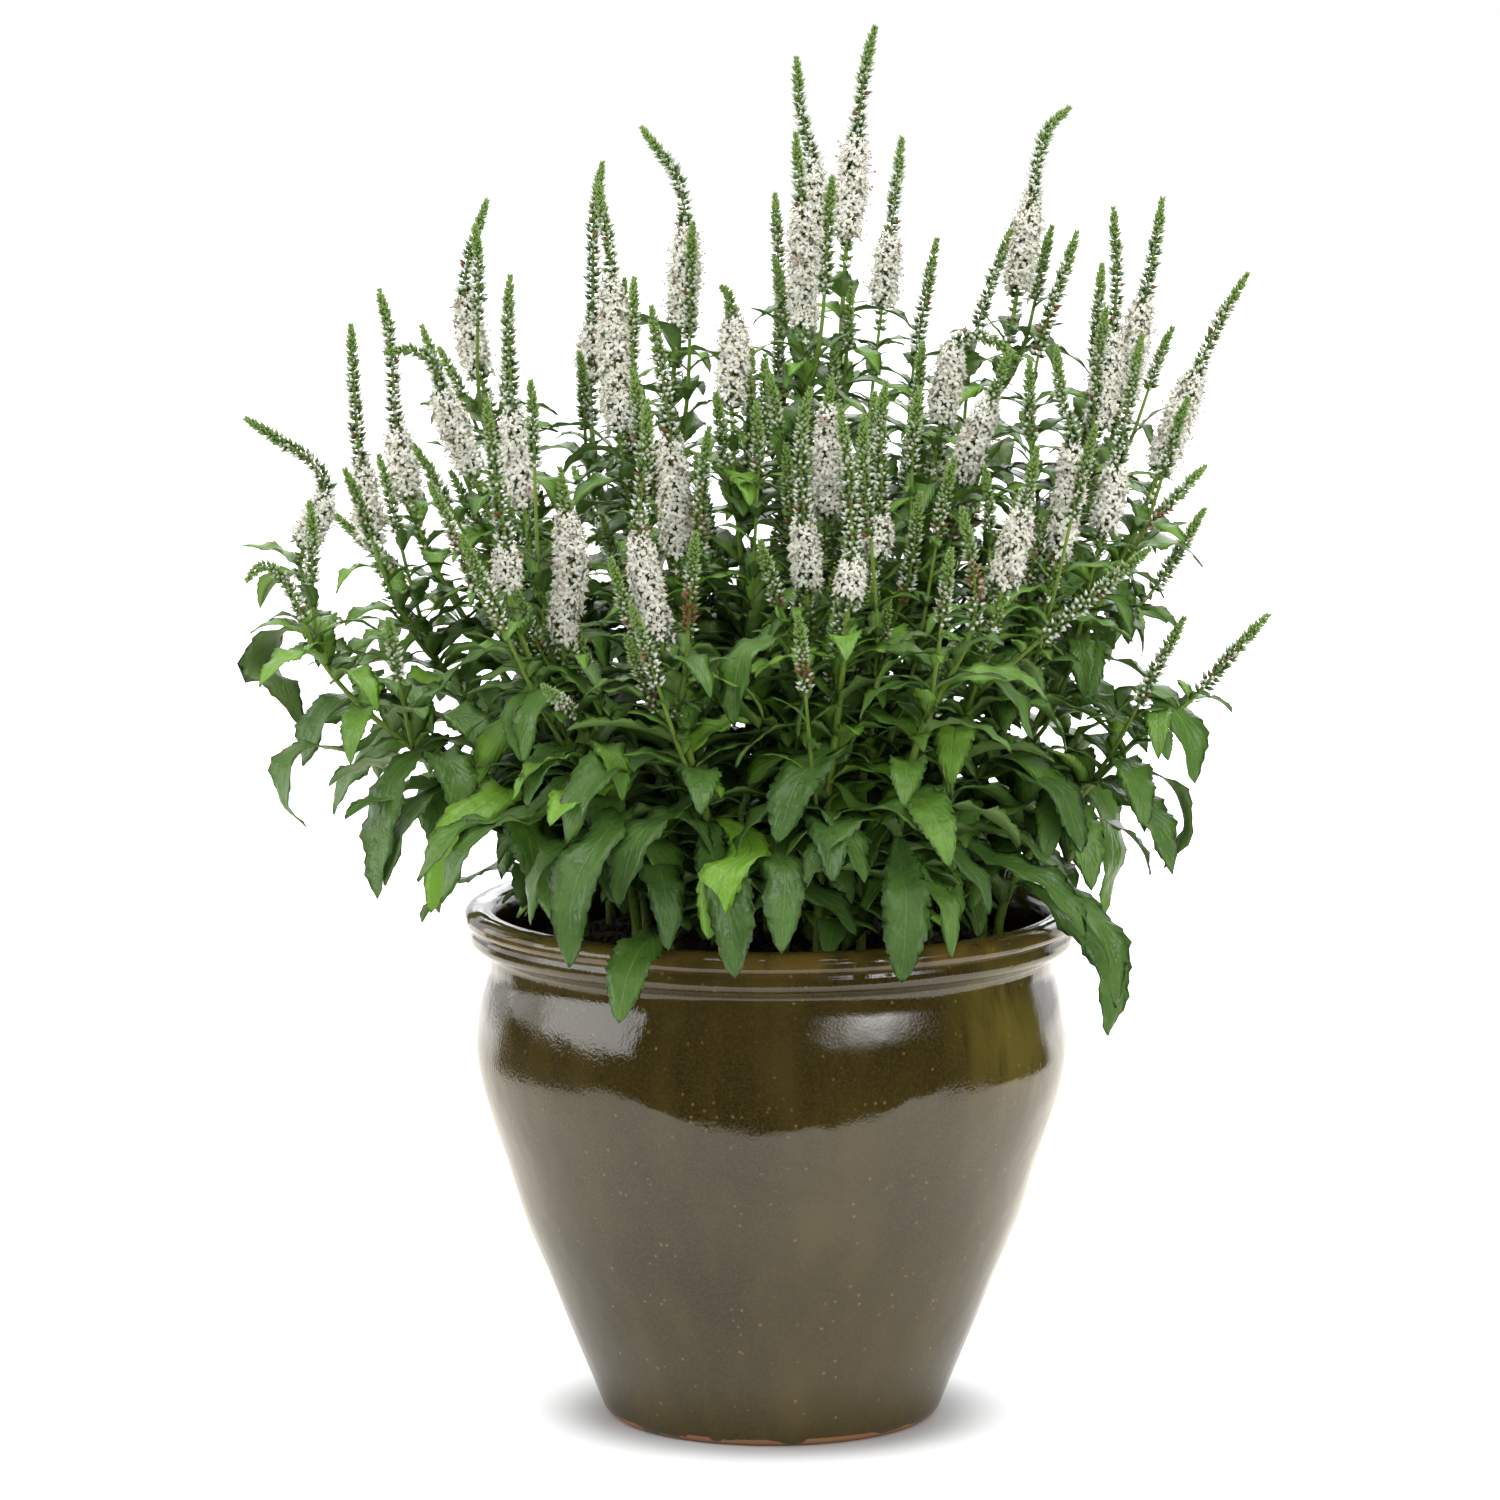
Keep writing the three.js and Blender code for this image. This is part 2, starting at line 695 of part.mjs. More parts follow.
// A toothed blade grown from four corners at its base: two edges, and a midrib with a top and
// an under side, joined by strips that are split alike on both faces.
function addBlade(body, corners, leaf) {
  const detail = BLADE_DETAIL.find(({ from }) => leaf.length >= from);
  const edge = Array.from({ length: detail.teeth }, (_, i) => (i + 0.8) / (detail.teeth + 0.6));
  const rib = Array.from({ length: detail.ribs }, (_, i) => (i + 1) / (detail.ribs + 1));
  const tip = addPoint(body, bladePoint(leaf, 1, 0, 0));
  const side = (sign) => edge.map((t, i) => {
    const half = halfWidth(leaf, t) * (1 + (i % 2 ? -LEAF_TOOTH : LEAF_TOOTH));
    return addPoint(body, bladePoint(leaf, t, sign * half, half * LEAF_KEEL));
  });
  const spine = (lift) => rib.map((t) => addPoint(body, bladePoint(leaf, t, 0, lift * (1 - 0.5 * t))));
  const right = [corners[0], ...side(-1), tip];
  const under = [corners[1], ...spine(-BLADE_UNDER), tip];
  const left = [corners[2], ...side(1), tip];
  const top = [corners[3], ...spine(BLADE_TOP), tip];
  const edgeShares = [0, ...edge, 1];
  const ribShares = [0, ...rib, 1];
  addStrip(body, right, edgeShares, under, ribShares, false);
  addStrip(body, left, edgeShares, under, ribShares, true);
  addStrip(body, left, edgeShares, top, ribShares, false);
  addStrip(body, right, edgeShares, top, ribShares, true);
}

// Triangles between two chains that meet in a common last point. The inner chain takes the first
// step, so that a blade's two faces share their outer edge from the base on and never cross.
function addStrip(body, outer, outerShares, inner, innerShares, flip) {
  let i = 0;
  let j = 0;
  while (i < outer.length - 1 && j < inner.length - 1) {
    const stepOuter = j > 0 && outerShares[i + 1] <= innerShares[j + 1] && i < outer.length - 2;
    const face = [outer[i], inner[j], stepOuter ? outer[i + 1] : inner[j + 1]];
    body.triangles.push(...(flip ? face.reverse() : face));
    if (stepOuter) i += 1;
    else j += 1;
  }
  for (; i < outer.length - 2; i++) {
    const face = [outer[i], inner[j], outer[i + 1]];
    body.triangles.push(...(flip ? face.reverse() : face));
  }
}

// The blade by itself, from a reach away from its stem's middle, with its base as wide as a face.
function bladeSolid(leaf, reach) {
  const body = newBody();
  const wide = STEM_RADIUS * Math.SQRT1_2;
  const corners = [[-wide, 0], [0, -wide / 2], [wide, 0], [0, wide / 2]]
    .map(([across, lift]) => addPoint(body, bladePoint(leaf, reach / leaf.length, across, lift)));
  addCap(body, corners, false);
  addBlade(body, corners, leaf);
  return solidOf(rawGeometry(body.points, body.triangles));
}

// Whether a box comes within a gap of another.
function near(a, b, gap) {
  return a.min.every((low, k) => low - gap < b.max[k] && b.min[k] - gap < a.max[k]);
}

function boxed(solid, owner) {
  const { min, max } = solid.boundingBox();
  return { solid, owner, min, max };
}

// Whether a leaf stays clear: with its base from other things, and beyond its base from its own.
function isClear(leaf, placed, owner) {
  const whole = boxed(bladeSolid(leaf, 0), owner);
  const blade = boxed(bladeSolid(leaf, BASE_REACH), owner);
  return placed.every((other) => {
    const piece = other.owner === owner ? blade : whole;
    return !near(piece, other, LEAF_GAP) || piece.solid.minGap(other.solid, LEAF_GAP * 2) >= LEAF_GAP;
  });
}

// The leaves of a level: a pair on opposite faces, a quarter turn from the pair below.
function pairPlans(axis, level, levelIndex, draw) {
  const share = Math.min(1, level.at / axis.bloomStart);
  const short = axis.face === undefined ? 1 : SHOOT_LEAF;
  return [0, 2].map((half) => {
    const face = (half + levelIndex) % 4;
    const looks = faceDirection(axis, level.at, face);
    const length = THREE.MathUtils.lerp(LEAF_LOWEST, LEAF_HIGHEST, Math.pow(share, 1.3)) * short;
    return {
      face,
      place: stationFrame(axis.curve, level.at + LEAF_BASE / 2).place,
      turn: Math.atan2(looks.y, looks.x) + (draw() - 0.5) * 0.4,
      length: length * (0.9 + draw() * 0.2),
      rise: THREE.MathUtils.lerp(0.5, 0.85, share) + (draw() - 0.5) * 0.4,
      droop: THREE.MathUtils.lerp(1.5, 0.9, share) + (draw() - 0.5) * 0.8,
    };
  });
}

// The leaf in one of its tries: turned aside, then also raised and shortened.
function leafTry(plan, attempt) {
  const swing = Math.ceil((attempt % 5) / 2) * (attempt % 2 ? 1 : -1) * 0.3;
  const round = Math.floor(attempt / 5);
  return {
    ...plan,
    turn: plan.turn + swing,
    length: plan.length * (1 - 0.15 * round),
    rise: plan.rise + 0.16 * round,
    droop: plan.droop - 0.2 * round,
  };
}

// The pot's section, from the middle of its foot up the outside, over the lip and down inside.
function potProfile() {
  const outside = [
    [0, 0], [FOOT_RADIUS - 2, 0], [FOOT_RADIUS + 2, 4], [103, 48], [WAIST_RADIUS, WAIST_HEIGHT], [139, 146],
    [BELLY_RADIUS - 1, BELLY_HEIGHT - 14], [BELLY_RADIUS, BELLY_HEIGHT + 2],
    [NECK_RADIUS + 3, NECK_HEIGHT - 13], [NECK_RADIUS, NECK_HEIGHT],
    [NECK_RADIUS + 4, NECK_HEIGHT + 8], [LIP_RADIUS - 1, NECK_HEIGHT + 13],
    [LIP_RADIUS, NECK_HEIGHT + 19], [LIP_RADIUS - 3, POT_HEIGHT - 3], [LIP_RADIUS - 9, POT_HEIGHT],
  ];
  return [...outside, [LIP_RADIUS - 15, POT_HEIGHT - 3], ...insideProfile(0)];
}

// The pot's inside from the lip down to the floor, drawn in by a gap.
function insideProfile(gap) {
  return [
    [NECK_RADIUS - WALL + 3 - gap, NECK_HEIGHT + 10], [BELLY_RADIUS - WALL - gap, BELLY_HEIGHT],
    [WAIST_RADIUS - WALL - gap, WAIST_HEIGHT], [FOOT_RADIUS - 3 - gap, FLOOR + gap], [0, FLOOR + gap],
  ];
}

function lathe(profile) {
  const outline = profile.map(([radius, height]) => new THREE.Vector2(radius, height));
  return new THREE.LatheGeometry(outline, POT_FACETS).rotateX(Math.PI / 2);
}

function potSolid() {
  let solid = solidOf(lathe(potProfile()));
  for (let i = 0; i < DRAINS; i++) {
    const drain = new THREE.CylinderGeometry(DRAIN_RADIUS, DRAIN_RADIUS, FLOOR * 3, 8).rotateX(Math.PI / 2);
    const angle = (i / DRAINS) * Math.PI * 2;
    drain.translate(DRAIN_CIRCLE * Math.cos(angle), DRAIN_CIRCLE * Math.sin(angle), FLOOR / 2);
    solid = solid.subtract(solidOf(drain));
  }
  return solid;
}

// Soil with a lumpy crown.
function soilSolid(holes) {
  const inside = insideProfile(CLEARANCE);
  const slope = (inside[0][0] - inside[1][0]) / (inside[0][1] - inside[1][1]);
  const edge = inside[1][0] + slope * (SOIL_EDGE - inside[1][1]);
  const crown = [[36, SOIL_CROWN], [76, SOIL_CROWN - 2], [112, SOIL_CROWN - 5]];
  const profile = [...inside.slice(1).reverse(), [edge, SOIL_EDGE], ...crown.reverse(), [0, SOIL_CROWN]];
  const geometry = lathe(profile);
  const places = geometry.attributes.position;
  for (let i = 0; i < places.count; i++) {
    const x = places.getX(i);
    const y = places.getY(i);
    const z = places.getZ(i);
    const lump = Math.sin(x * 0.11 + 1.3) * Math.cos(y * 0.13 - 0.4) + 0.5 * Math.sin((x + y) * 0.23);
    if (z > SOIL_EDGE + 1) places.setZ(i, z + lump * SOIL_LUMP);
  }
  return wasm.Manifold.difference([solidOf(geometry), ...holes]);
}

function allAxes(stem) {
  return [stem, ...stem.levels.flatMap((level) => level.shoots)];
}

// The leaves, level by level from the soil up, each where it stays clear of all that stands.
function addLeaves(stems, placed) {
  const levels = Math.max(...stems.map((stem) => stem.levels.length));
  const outness = ({ plan }) => Math.hypot(...plan.foot);
  const outerFirst = [...stems].sort((a, b) => outness(b) - outness(a));
  for (let i = 0; i < levels; i++) {
    for (const stem of outerFirst) {
      for (const axis of allAxes(stem).filter(({ levels: own }) => own.length > i)) {
        for (const plan of pairPlans(axis, axis.levels[i], i, stem.draw)) {
          const tries = Array.from({ length: TRIES }, (_, attempt) => leafTry(plan, attempt));
          const leaf = tries.find((one) => isClear(one, placed, stem));
          if (!leaf) continue;
          axis.levels[i].leaves.push(leaf);
          placed.push(boxed(bladeSolid(leaf, 0), stem));
        }
      }
    }
  }
}

function numbered(name, number) {
  return `${name}_${String(number).padStart(2, '0')}`;
}

function makePlant() {
  const pot = potSolid();
  const soil = soilSolid(STEMS.map(holeSolid));
  const stems = STEMS.map(makeStem);
  const blooms = stems.flatMap(allAxes).filter((axis) => axis.plan.white).map(bloomSolid);
  const standing = [pot, soil, ...blooms].map((solid) => boxed(solid, null));
  addLeaves(stems, [...standing, ...stems.map((stem) => boxed(stemSolid(stem), stem))]);
  const group = new THREE.Group();
  group.add(meshOf('pot', pot, glaze), meshOf('soil', soil, earth));
  stems.forEach((stem, i) => group.add(meshOf(numbered('leafy_stem', i + 1), stemSolid(stem), foliage)));
  blooms.forEach((bloom, i) => group.add(meshOf(numbered('bloom', i + 1), bloom, petals)));
  return group;
}

export default makePlant();
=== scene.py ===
"""White spike speedwell in a glazed pot: its looks, built round the fixed solids.

Growth is worked out in millimetres by the rule that the solids follow, so that every stalk,
leaf, bud and floret lies where its solid lies. Pieces are made in metres, in the same frame.
"""

import math

import bpy
import numpy as np
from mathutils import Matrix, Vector
from mathutils.kdtree import KDTree


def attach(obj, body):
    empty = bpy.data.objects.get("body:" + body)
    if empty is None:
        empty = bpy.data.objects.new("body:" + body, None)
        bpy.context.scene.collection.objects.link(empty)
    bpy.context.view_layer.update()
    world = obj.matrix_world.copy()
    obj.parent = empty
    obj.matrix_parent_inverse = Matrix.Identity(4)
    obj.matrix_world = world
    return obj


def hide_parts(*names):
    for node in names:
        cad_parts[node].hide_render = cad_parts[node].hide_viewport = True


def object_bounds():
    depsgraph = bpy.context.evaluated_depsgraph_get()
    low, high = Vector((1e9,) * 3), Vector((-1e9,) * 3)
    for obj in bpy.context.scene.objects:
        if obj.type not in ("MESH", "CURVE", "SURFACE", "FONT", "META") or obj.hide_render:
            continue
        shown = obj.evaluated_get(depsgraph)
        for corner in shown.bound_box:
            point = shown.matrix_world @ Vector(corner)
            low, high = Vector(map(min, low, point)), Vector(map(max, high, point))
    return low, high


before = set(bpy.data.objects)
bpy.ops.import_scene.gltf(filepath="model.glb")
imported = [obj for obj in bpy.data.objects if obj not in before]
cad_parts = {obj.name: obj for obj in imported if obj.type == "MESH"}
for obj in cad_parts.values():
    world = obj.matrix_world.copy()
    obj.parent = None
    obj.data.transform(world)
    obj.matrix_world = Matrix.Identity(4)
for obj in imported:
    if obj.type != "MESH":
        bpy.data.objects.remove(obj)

bl_info = {
    "name": "Potted Spike Speedwell",
    "version": (1, 0, 0),
    "blender": (4, 5, 0),
    "location": "3D View > Sidebar > Speedwell",
    "description": "Glazed pot, potting soil, leafy stems, bud spikes and white blooms",
    "category": "Object",
}

CAD_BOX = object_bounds()
MM = 0.001

# The pot's section, radius and height in millimetres.
FOOT = [(0, 0), (79.5, 0), (81.6, 0.7), (83.2, 2.2)]
BODY = [(85, 4.5), (92.5, 23), (103, 48.5), (111.5, 70), (124, 100), (134.5, 133), (142.5, 157),
        (147.2, 174), (149.3, 190), (149, 200), (147.3, 211), (144.6, 221), (142.2, 229)]
LIP = [(142, 233), (143, 236.5), (146.2, 238.6), (150.2, 240.8), (152.3, 244.2),
       (152.2, 247.4), (151.4, 249.2), (153.2, 250.8), (154.5, 253.2), (153.8, 256.6),
       (150.6, 259.2), (146.2, 260), (141.8, 258.8), (138.6, 255.4), (136.6, 250)]
INSIDE = [(136, 241), (138.5, 222), (140.5, 196), (137, 170), (126, 135), (115, 100), (95, 50),
          (79, 14), (76, 12), (0, 12)]
POT_HEIGHT = 260
DRAIN_RADIUS = 7
DRAIN_CIRCLE = 44
DRAIN_HOLES = 3
SOIL_EDGE = 234
SOIL_CROWN = 241
SOIL_SIDES = [(0, 13), (75, 13), (94, 50), (114, 100), (125, 135), (136, 170), (139.5, 196),
              (137.6, 222), (136.2, SOIL_EDGE - 1)]

# The growth rule of the solids, in millimetres.
COLLAR = 247
ROOT_DEPTH = 39
STEM_RADIUS = 2.5
TWIG_RADIUS = 1.25
BELOW_BLOOM = 32
BARE_NECK = 12
LEAF_BASE = 2.6
LEAF_LOWEST = 84
LEAF_HIGHEST = 38
LEAF_SLENDER = 0.168
LEAF_KEEL = 0.24
BEND_EARLY = 0.9
PAIR_STEP = 50
FIRST_PAIR = 8
FIRST_ON_SHOOT = 34
SHOOT_LEAF = 0.72
WHORL = 5
OUTER_CIRCLE = 108
BARE_INSIDE = 130
TRIES = 15
LEAF_RISES = (0.5, 0.85)
LEAF_DROOPS = (1.5, 0.9)
FIRST_SEED = 977
SEED_STEP = 131
SEED_SCALE = 7919 * 104729
DRAW_FACTOR = 16807
DRAW_RANGE = 2 ** 31 - 1
MIDRIB_STEPS = 16
SAME_PLACE = 0.05

# What the looks add to that rule, in millimetres.
WIDEST_HALF = 12.2
WALL_INSIDE = 132
SOIL_RADIUS = 136
CRUMB_CIRCLE = 131
SPIKES_WITHIN = 175
LEAF_BEFORE_BLOOM = 9
SPIKE_BEFORE_BLOOM = 11
LARGE_LEAF = 48
SMALL_LEAF = 30
OUTER_FRONT = -85
OUTER_SIDE = 130
GOLDEN_TURN = math.radians(137.5)

# Leaf pairs added between two pairs of the solids: the room that they need, how far up the
# stem they grow, where they stand, their quarter turns from the pair below, and their scale.
ADDED_PAIRS = [(22, 1, 0.30, 1, 1.1), (32, 1, 0.62, 0.5, 1.0), (32, 0.45, 0.85, 1.4, 1.05)]
AXIL_LEAVES = (4, 0.25, 0.4)
LOW_STEP = 0.4 * PAIR_STEP
SPIKE_LEAF_STEP = 15

# Side spikes: how many a stem has, how high they start, how long they are, how far aside
# they reach, and how far below the bloom they start at most and at least.
SIDE_SPIKES = 5
SPIKE_HEIGHTS = (340, 470)
SPIKE_BELOW_BLOOM = (12, 60)
SPIKE_LENGTHS = (55, 100)
SPIKE_ASIDE = (11, 22)

# Below a spike's tip, buds open out, grow, ripen and lean out over these distances.
CROWD_OVER = 40
GROW_OVER = 14
RIPEN_OVER = 22
LEAN_OVER = 9
BUD_LEANS = (1.08, 0.5)
SPENT_SHARE = 0.012

# Seeds of the looks, so that each run gives the same plant.
CRUMB_SEED = 41
LEAF_SEED = 500
BLOOM_SEED = 900
PALE_SEED = 960
DOTTED_SEED = 1300

# Spots on the glaze, and heights, in metres. The first spot is a painted pool of light on the
# right of the neck.
PAINTED_LIGHT_PLACE = (0.120, -0.084, 0.214)
MATT_PLACE = (-0.100, -0.104, 0.210)
LIP_HEIGHTS = (0.246, 0.254)
CLAY_HEIGHTS = (0.0042, 0.0034)
DRY_BUD_HEIGHTS = (0.48, 0.45)
CREAM_SHARES = (0.98, 0.93, 0.82)

# The stage, in metres. The floor paints its own reflection in the glaze: a table that ends at its
# front edge and at both sides, and is bright again where it mirrors what lies behind the plant.
FLOOR_HALF = 4.0
FLOOR_LEVEL = -0.0004
# Round the foot the floor's own glow fades between these radii: a painted shadow.
FOOT_SHADOW = (0.083, 0.128)
TABLE_MIDDLE = 0.03
TABLE_SIDE = (0.68, 0.65)
BACK_HEADING = (0.55, 0.66)
CAMERA_AIM = (-0.011, 0, 0.337)
FRONT_RINGS = 6

# Each light: its name, its place, the point it faces, its width and height, the setting that
# gives its brightness, and its share of that. The front light is a set of rings, one in
# another, so that its edge is soft in the glaze.
LIGHTS = [
    ("overhead_light", (0, -0.2, 2.6), (0, 0, 0.2), 2.6, 2.2, "overhead", 1),
    ("window_front", (-2.0, -0.55, 0.80), (0, -0.55, 0.24), 1.7, 0.87, "window", 0.98),
    ("window_back", (-2.0, 1.1, 0.80), (0, 1.1, 0.24), 1.6, 0.87, "window", 0.42),
    *((f"front_light_{ring + 1}", (1.44 + 0.01 * ring, -1.6 - 0.01 * ring, 1.12), (0, 0, 0.24),
       0.46 + 0.33 * ring, 0.20 + 0.15 * ring, "front", 0.042 * (FRONT_RINGS - ring))
      for ring in range(FRONT_RINGS)),
    ("back_light", (0.4, 2.4, 1.3), (0, 0, 0.35), 2.4, 1.2, "window", 0.5),
    ("fill_light", (0.9, -2.4, 1.0), (0, 0, 0.35), 2.4, 1.6, "fill", 1),
]

# Each stem as in the solids, in millimetres: its foot, then how far below the tip its white bloom
# ends and begins, or how long its green spike is, and after the colon the points of its spike
# from base to tip. The rows set in under it are its side shoots: the height on the stem that
# each leaves from, its bloom or spike, and its bends and tip.
STEM_TABLE = """
-104 -14, white 56 88: -234 -20 431, -221 -25 471, -227 -28 485, -240 -30 494, -259 -35 507
-98 -50, green 46: -222 -70 393, -238 -78 431, -249 -82 440, -256 -86 434
  165, green 40: -227 -58 468
  120, green 44: -186 -122 419
-94 24, white 70 112: -198 60 423, -208 70 473, -212 78 520, -213 80 542
  170, green 38: -214 32 474
  190, green 42: -200 96 474
-82 60, white 70 108: -181 110 436, -192 122 486, -196 130 534, -201 134 555
  150, green 46: -225 130 440
-68 4, white 40 86: -147 30 465, -164 25 510, -170 22 530, -180 18 536, -192 14 535
  200, green 46: -176 54 544
  180, green 34: -178 6 489
-62 -34, white 65 114: -116 -40 421, -122 -40 463, -128 -38 517, -130 -34 556, -129 -32 577
  190, green 44: -118 -72 529
-66 -74, green 96: -127 -110 427, -130 -115 461, -135 -118 496, -138 -120 525
  130, green 60: -165 -132 486
  120, green 60: -149 -160 464
-58 92, white 50 94: -146 150 496, -156 160 532, -158 164 560, -147 170 598
  240, green 52: -152 138 587
  225, green 34: -136 130 535
  230, green 36: -172 176 521
  120, green 58: -176 205 440
-34 112, green 140: -93 190 472, -93 205 543, -92 210 588, -88 214 614
  210, green 40: -99 160 520
  240, green 50: -76 172 557
  110, green 62: -104 236 452
-38 34, white 47 126: -76 60 481, -80 68 531, -82 74 581, -88 80 614
  220, green 42: -70 104 564
-28 -24, white 63 124: -47 -60 436, -50 -64 503, -55 -64 539, -59 -66 565
  185, green 46: -69 -28 530
  180, green 60: -31 -97 509
-18 74, white 55 108: -51 130 503, -47 134 535, -44 140 588, -48 142 611, -66 145 637
  235, green 62: -40 98 592
-2 8, white 20 66: -20 20 501, -20 20 554, -22 16 564, -25 10 568
  220, green 34: -10 46 533
  210, green 40: -28 -12 517
10 108, white 53 120: 19 160 543, 21 170 619, 15 172 645, 13 174 671
  170, green 66: 2 208 598
  275, green 30: 2 146 569
  100, green 64: 18 240 455
16 44, white 36 98: 16 60 534, 15 64 605, 13 66 627, 12 66 640
  250, green 60: 30 30 621
34 76, white 55 110: 34 90 506, 38 96 583, 43 100 637, 49 104 679, 52 104 691
  110, white 50 88: 54 196 510, 61 205 567, 68 212 627
  245, green 32: 40 66 562
-22 -98, white 63 118: -53 -150 408, -64 -158 466, -60 -160 511, -60 -160 529
  120, green 52: -37 -182 468
  100, green 52: -67 -196 435
6 -60, white 62 99: 17 -100 426, 15 -104 467, 14 -106 509, 18 -106 529
  150, green 40: -6 -140 459
  170, green 34: -8 -66 518
28 -12, white 14 69: 27 -30 451, 28 -30 512, 29 -30 526
  190, green 30: -2 -12 528
22 -102, green 100: 36 -150 427, 38 -152 461, 36 -154 495, 32 -154 526
  150, green 60: 44 -124 518
  110, green 46: 12 -188 430
44 -48, white 64 88: 49 -80 435, 53 -82 472, 53 -84 514, 55 -84 530
  170, green 44: 50 -58 522
  130, green 36: 56 -122 428
  165, green 40: 72 -52 524
  160, green 40: 88 -100 494
58 18, white 36 80: 82 20 486, 89 18 526, 92 14 540, 103 10 544, 123 4 533
  120, green 60: 71 96 510, 84 108 583
  190, green 72: 94 -22 480, 117 -28 540
62 88, white 52 103: 121 120 528, 133 130 600, 141 136 637, 152 140 648
  130, green 58: 107 180 532, 126 190 585
  255, green 40: 142 92 591
  100, green 60: 112 232 446
88 50, white 61 111: 162 60 484, 172 66 541, 174 68 571, 172 70 602
  150, green 68: 133 70 521, 154 80 589
  215, green 52: 168 102 571
  205, green 54: 167 30 555
92 86, white 51 107: 178 140 488, 192 148 550, 197 152 574, 201 154 600
  210, green 36: 204 108 538
  130, green 58: 226 190 458
106 14, white 55 108: 189 20 463, 212 22 524, 225 24 553, 237 26 573
  200, green 44: 206 -10 514
  110, white 63 100: 162 -20 443, 182 -26 547
  130, green 50: 186 40 405, 218 50 452
86 -26, white 48 105: 138 -70 437, 146 -76 500, 140 -78 526, 138 -80 547
  190, green 40: 126 -48 537
  185, green 50: 156 -108 510
  175, green 34: 104 -64 486
72 -72, white 30 70: 110 -120 428, 121 -128 474, 127 -132 503
  130, green 74: 180 -152 457
112 -40, green 52: 177 -50 347, 203 -55 367, 228 -60 396, 243 -62 413
  90, green 56: 200 -96 416
58 -108, green 60: 70 -150 365, 96 -170 424, 96 -172 445, 90 -176 479
  120, green 44: 84 -204 463
-50 -110, white 20 86: -102 -100 401, -98 -102 438, -100 -104 470, -103 -104 490
  110, green 50: -110 -160 392
"""

# Spikes with a few white florets that have no solid of their own: (stem, shoot) to the
# distances below the tip.
PALE = {(6, None): (70, 94), (21, 1): (26, 70), (19, None): (72, 96), (8, None): (84, 112)}

# Large leaves that hang over the lip or stand out at the sides: how light, how wide for their
# length, and the points of the midrib from near the stem to the tip.
DRAPED_TABLE = """
0.45 0.11: -202 -60 346, -231 -80 348, -238 -90 325, -228 -95 313
0.25 0.15: -118 -130 327, -146 -160 313, -160 -172 289
0.15 0.15: -78 -150 321, -94 -170 298, -98 -178 258
0.10 0.15: -29 -150 305, -22 -172 290, -18 -180 253
0.95 0.16: -11 -150 311, -24 -170 300, -31 -180 272
0.20 0.15: 2 -140 312, 6 -170 300, 4 -186 266
0.15 0.15: 62 -150 301, 64 -168 288, 62 -174 250
0.55 0.09: 76 -150 292, 84 -166 284, 86 -172 262
0.45 0.11: 173 -30 336, 196 -38 326, 204 -44 305, 194 -50 285
0.20 0.17: 100 -96 300, 132 -116 288, 152 -124 262
0.30 0.13: 136 -90 288, 160 -114 262, 168 -120 228
0.35 0.12: 146 -60 262, 164 -68 244, 166 -76 206
0.85 0.12: 160 0 317, 170 -6 290, 165 -10 254
0.55 0.12: -255 20 381, -244 6 370, -236 0 349
0.80 0.17: -110 -110 322, -150 -140 318, -172 -150 296
0.15 0.17: -150 -60 330, -176 -90 322, -190 -104 286
0.30 0.14: 10 -130 330, 30 -150 326, 44 -160 296
0.20 0.15: 34 -120 352, 14 -150 346, 2 -166 316
0.35 0.12: -60 -120 350, -86 -150 344, -100 -160 316
0.10 0.16: -40 -130 330, -64 -160 318, -74 -172 286
0.12 0.16: 110 -60 340, 140 -84 330, 150 -96 300
0.60 0.10: 40 -140 330, 58 -164 332, 84 -172 318
0.35 0.16: -168 -60 345, -186 -84 335, -193 -100 278
0.92 0.16: -130 -90 330, -154 -120 314, -166 -128 276
0.25 0.16: -196 -30 372, -218 -50 366, -232 -58 338
0.50 0.15: 176 -40 372, 200 -60 362, 208 -66 330
0.62 0.12: -4 -128 408, -14 -140 404, -18 -146 370
0.60 0.12: 37 -130 398, 22 -142 399, 12 -148 364
0.55 0.12: 44 -128 400, 64 -140 408, 92 -146 388
0.82 0.17: -32 -118 402, -30 -126 392, -6 -130 366
0.60 0.11: -116 -110 385, -125 -122 375, -122 -126 350
0.60 0.11: -98 -116 384, -113 -126 380, -121 -130 350
0.65 0.11: 74 -134 352, 84 -146 345, 83 -148 312
0.45 0.12: 92 -120 392, 110 -130 388, 126 -134 362
"""


def colour_property(name, words, default):
    return bpy.props.FloatVectorProperty(
        name=name, description=words, subtype="COLOR", size=3, min=0, max=1, default=default)


def length_property(name, words, default, low, high):
    return bpy.props.FloatProperty(
        name=name, description=words, default=default, min=low, max=high, unit="LENGTH",
        precision=5)


def share_property(name, words, default, low=0.0, high=1.0):
    return bpy.props.FloatProperty(
        name=name, description=words, default=default, min=low, max=high, subtype="FACTOR")


class PotSettings(bpy.types.PropertyGroup):
    facets: bpy.props.IntProperty(
        name="Facets", description="Steps round the pot", default=128, min=24, max=256)
    glaze: colour_property("Glaze", "Where the glaze is thick", (0.015, 0.011, 0.002))
    thin_glaze: colour_property("Thin glaze", "Where the glaze runs thin", (0.084, 0.059, 0.013))
    lip: colour_property("Lip", "Amber glaze on the rolled lip", (0.128, 0.080, 0.016))
    speck: colour_property("Specks", "Rusty specks in the glaze", (0.270, 0.160, 0.050))
    painted_light_patch: colour_property("Olive patch", "A lighter patch under the neck", (0.150, 0.118, 0.020))
    clay: colour_property("Clay", "Bare clay at the foot", (0.330, 0.150, 0.065))
    gloss: share_property("Roughness", "Roughness of the glaze", 0.05)


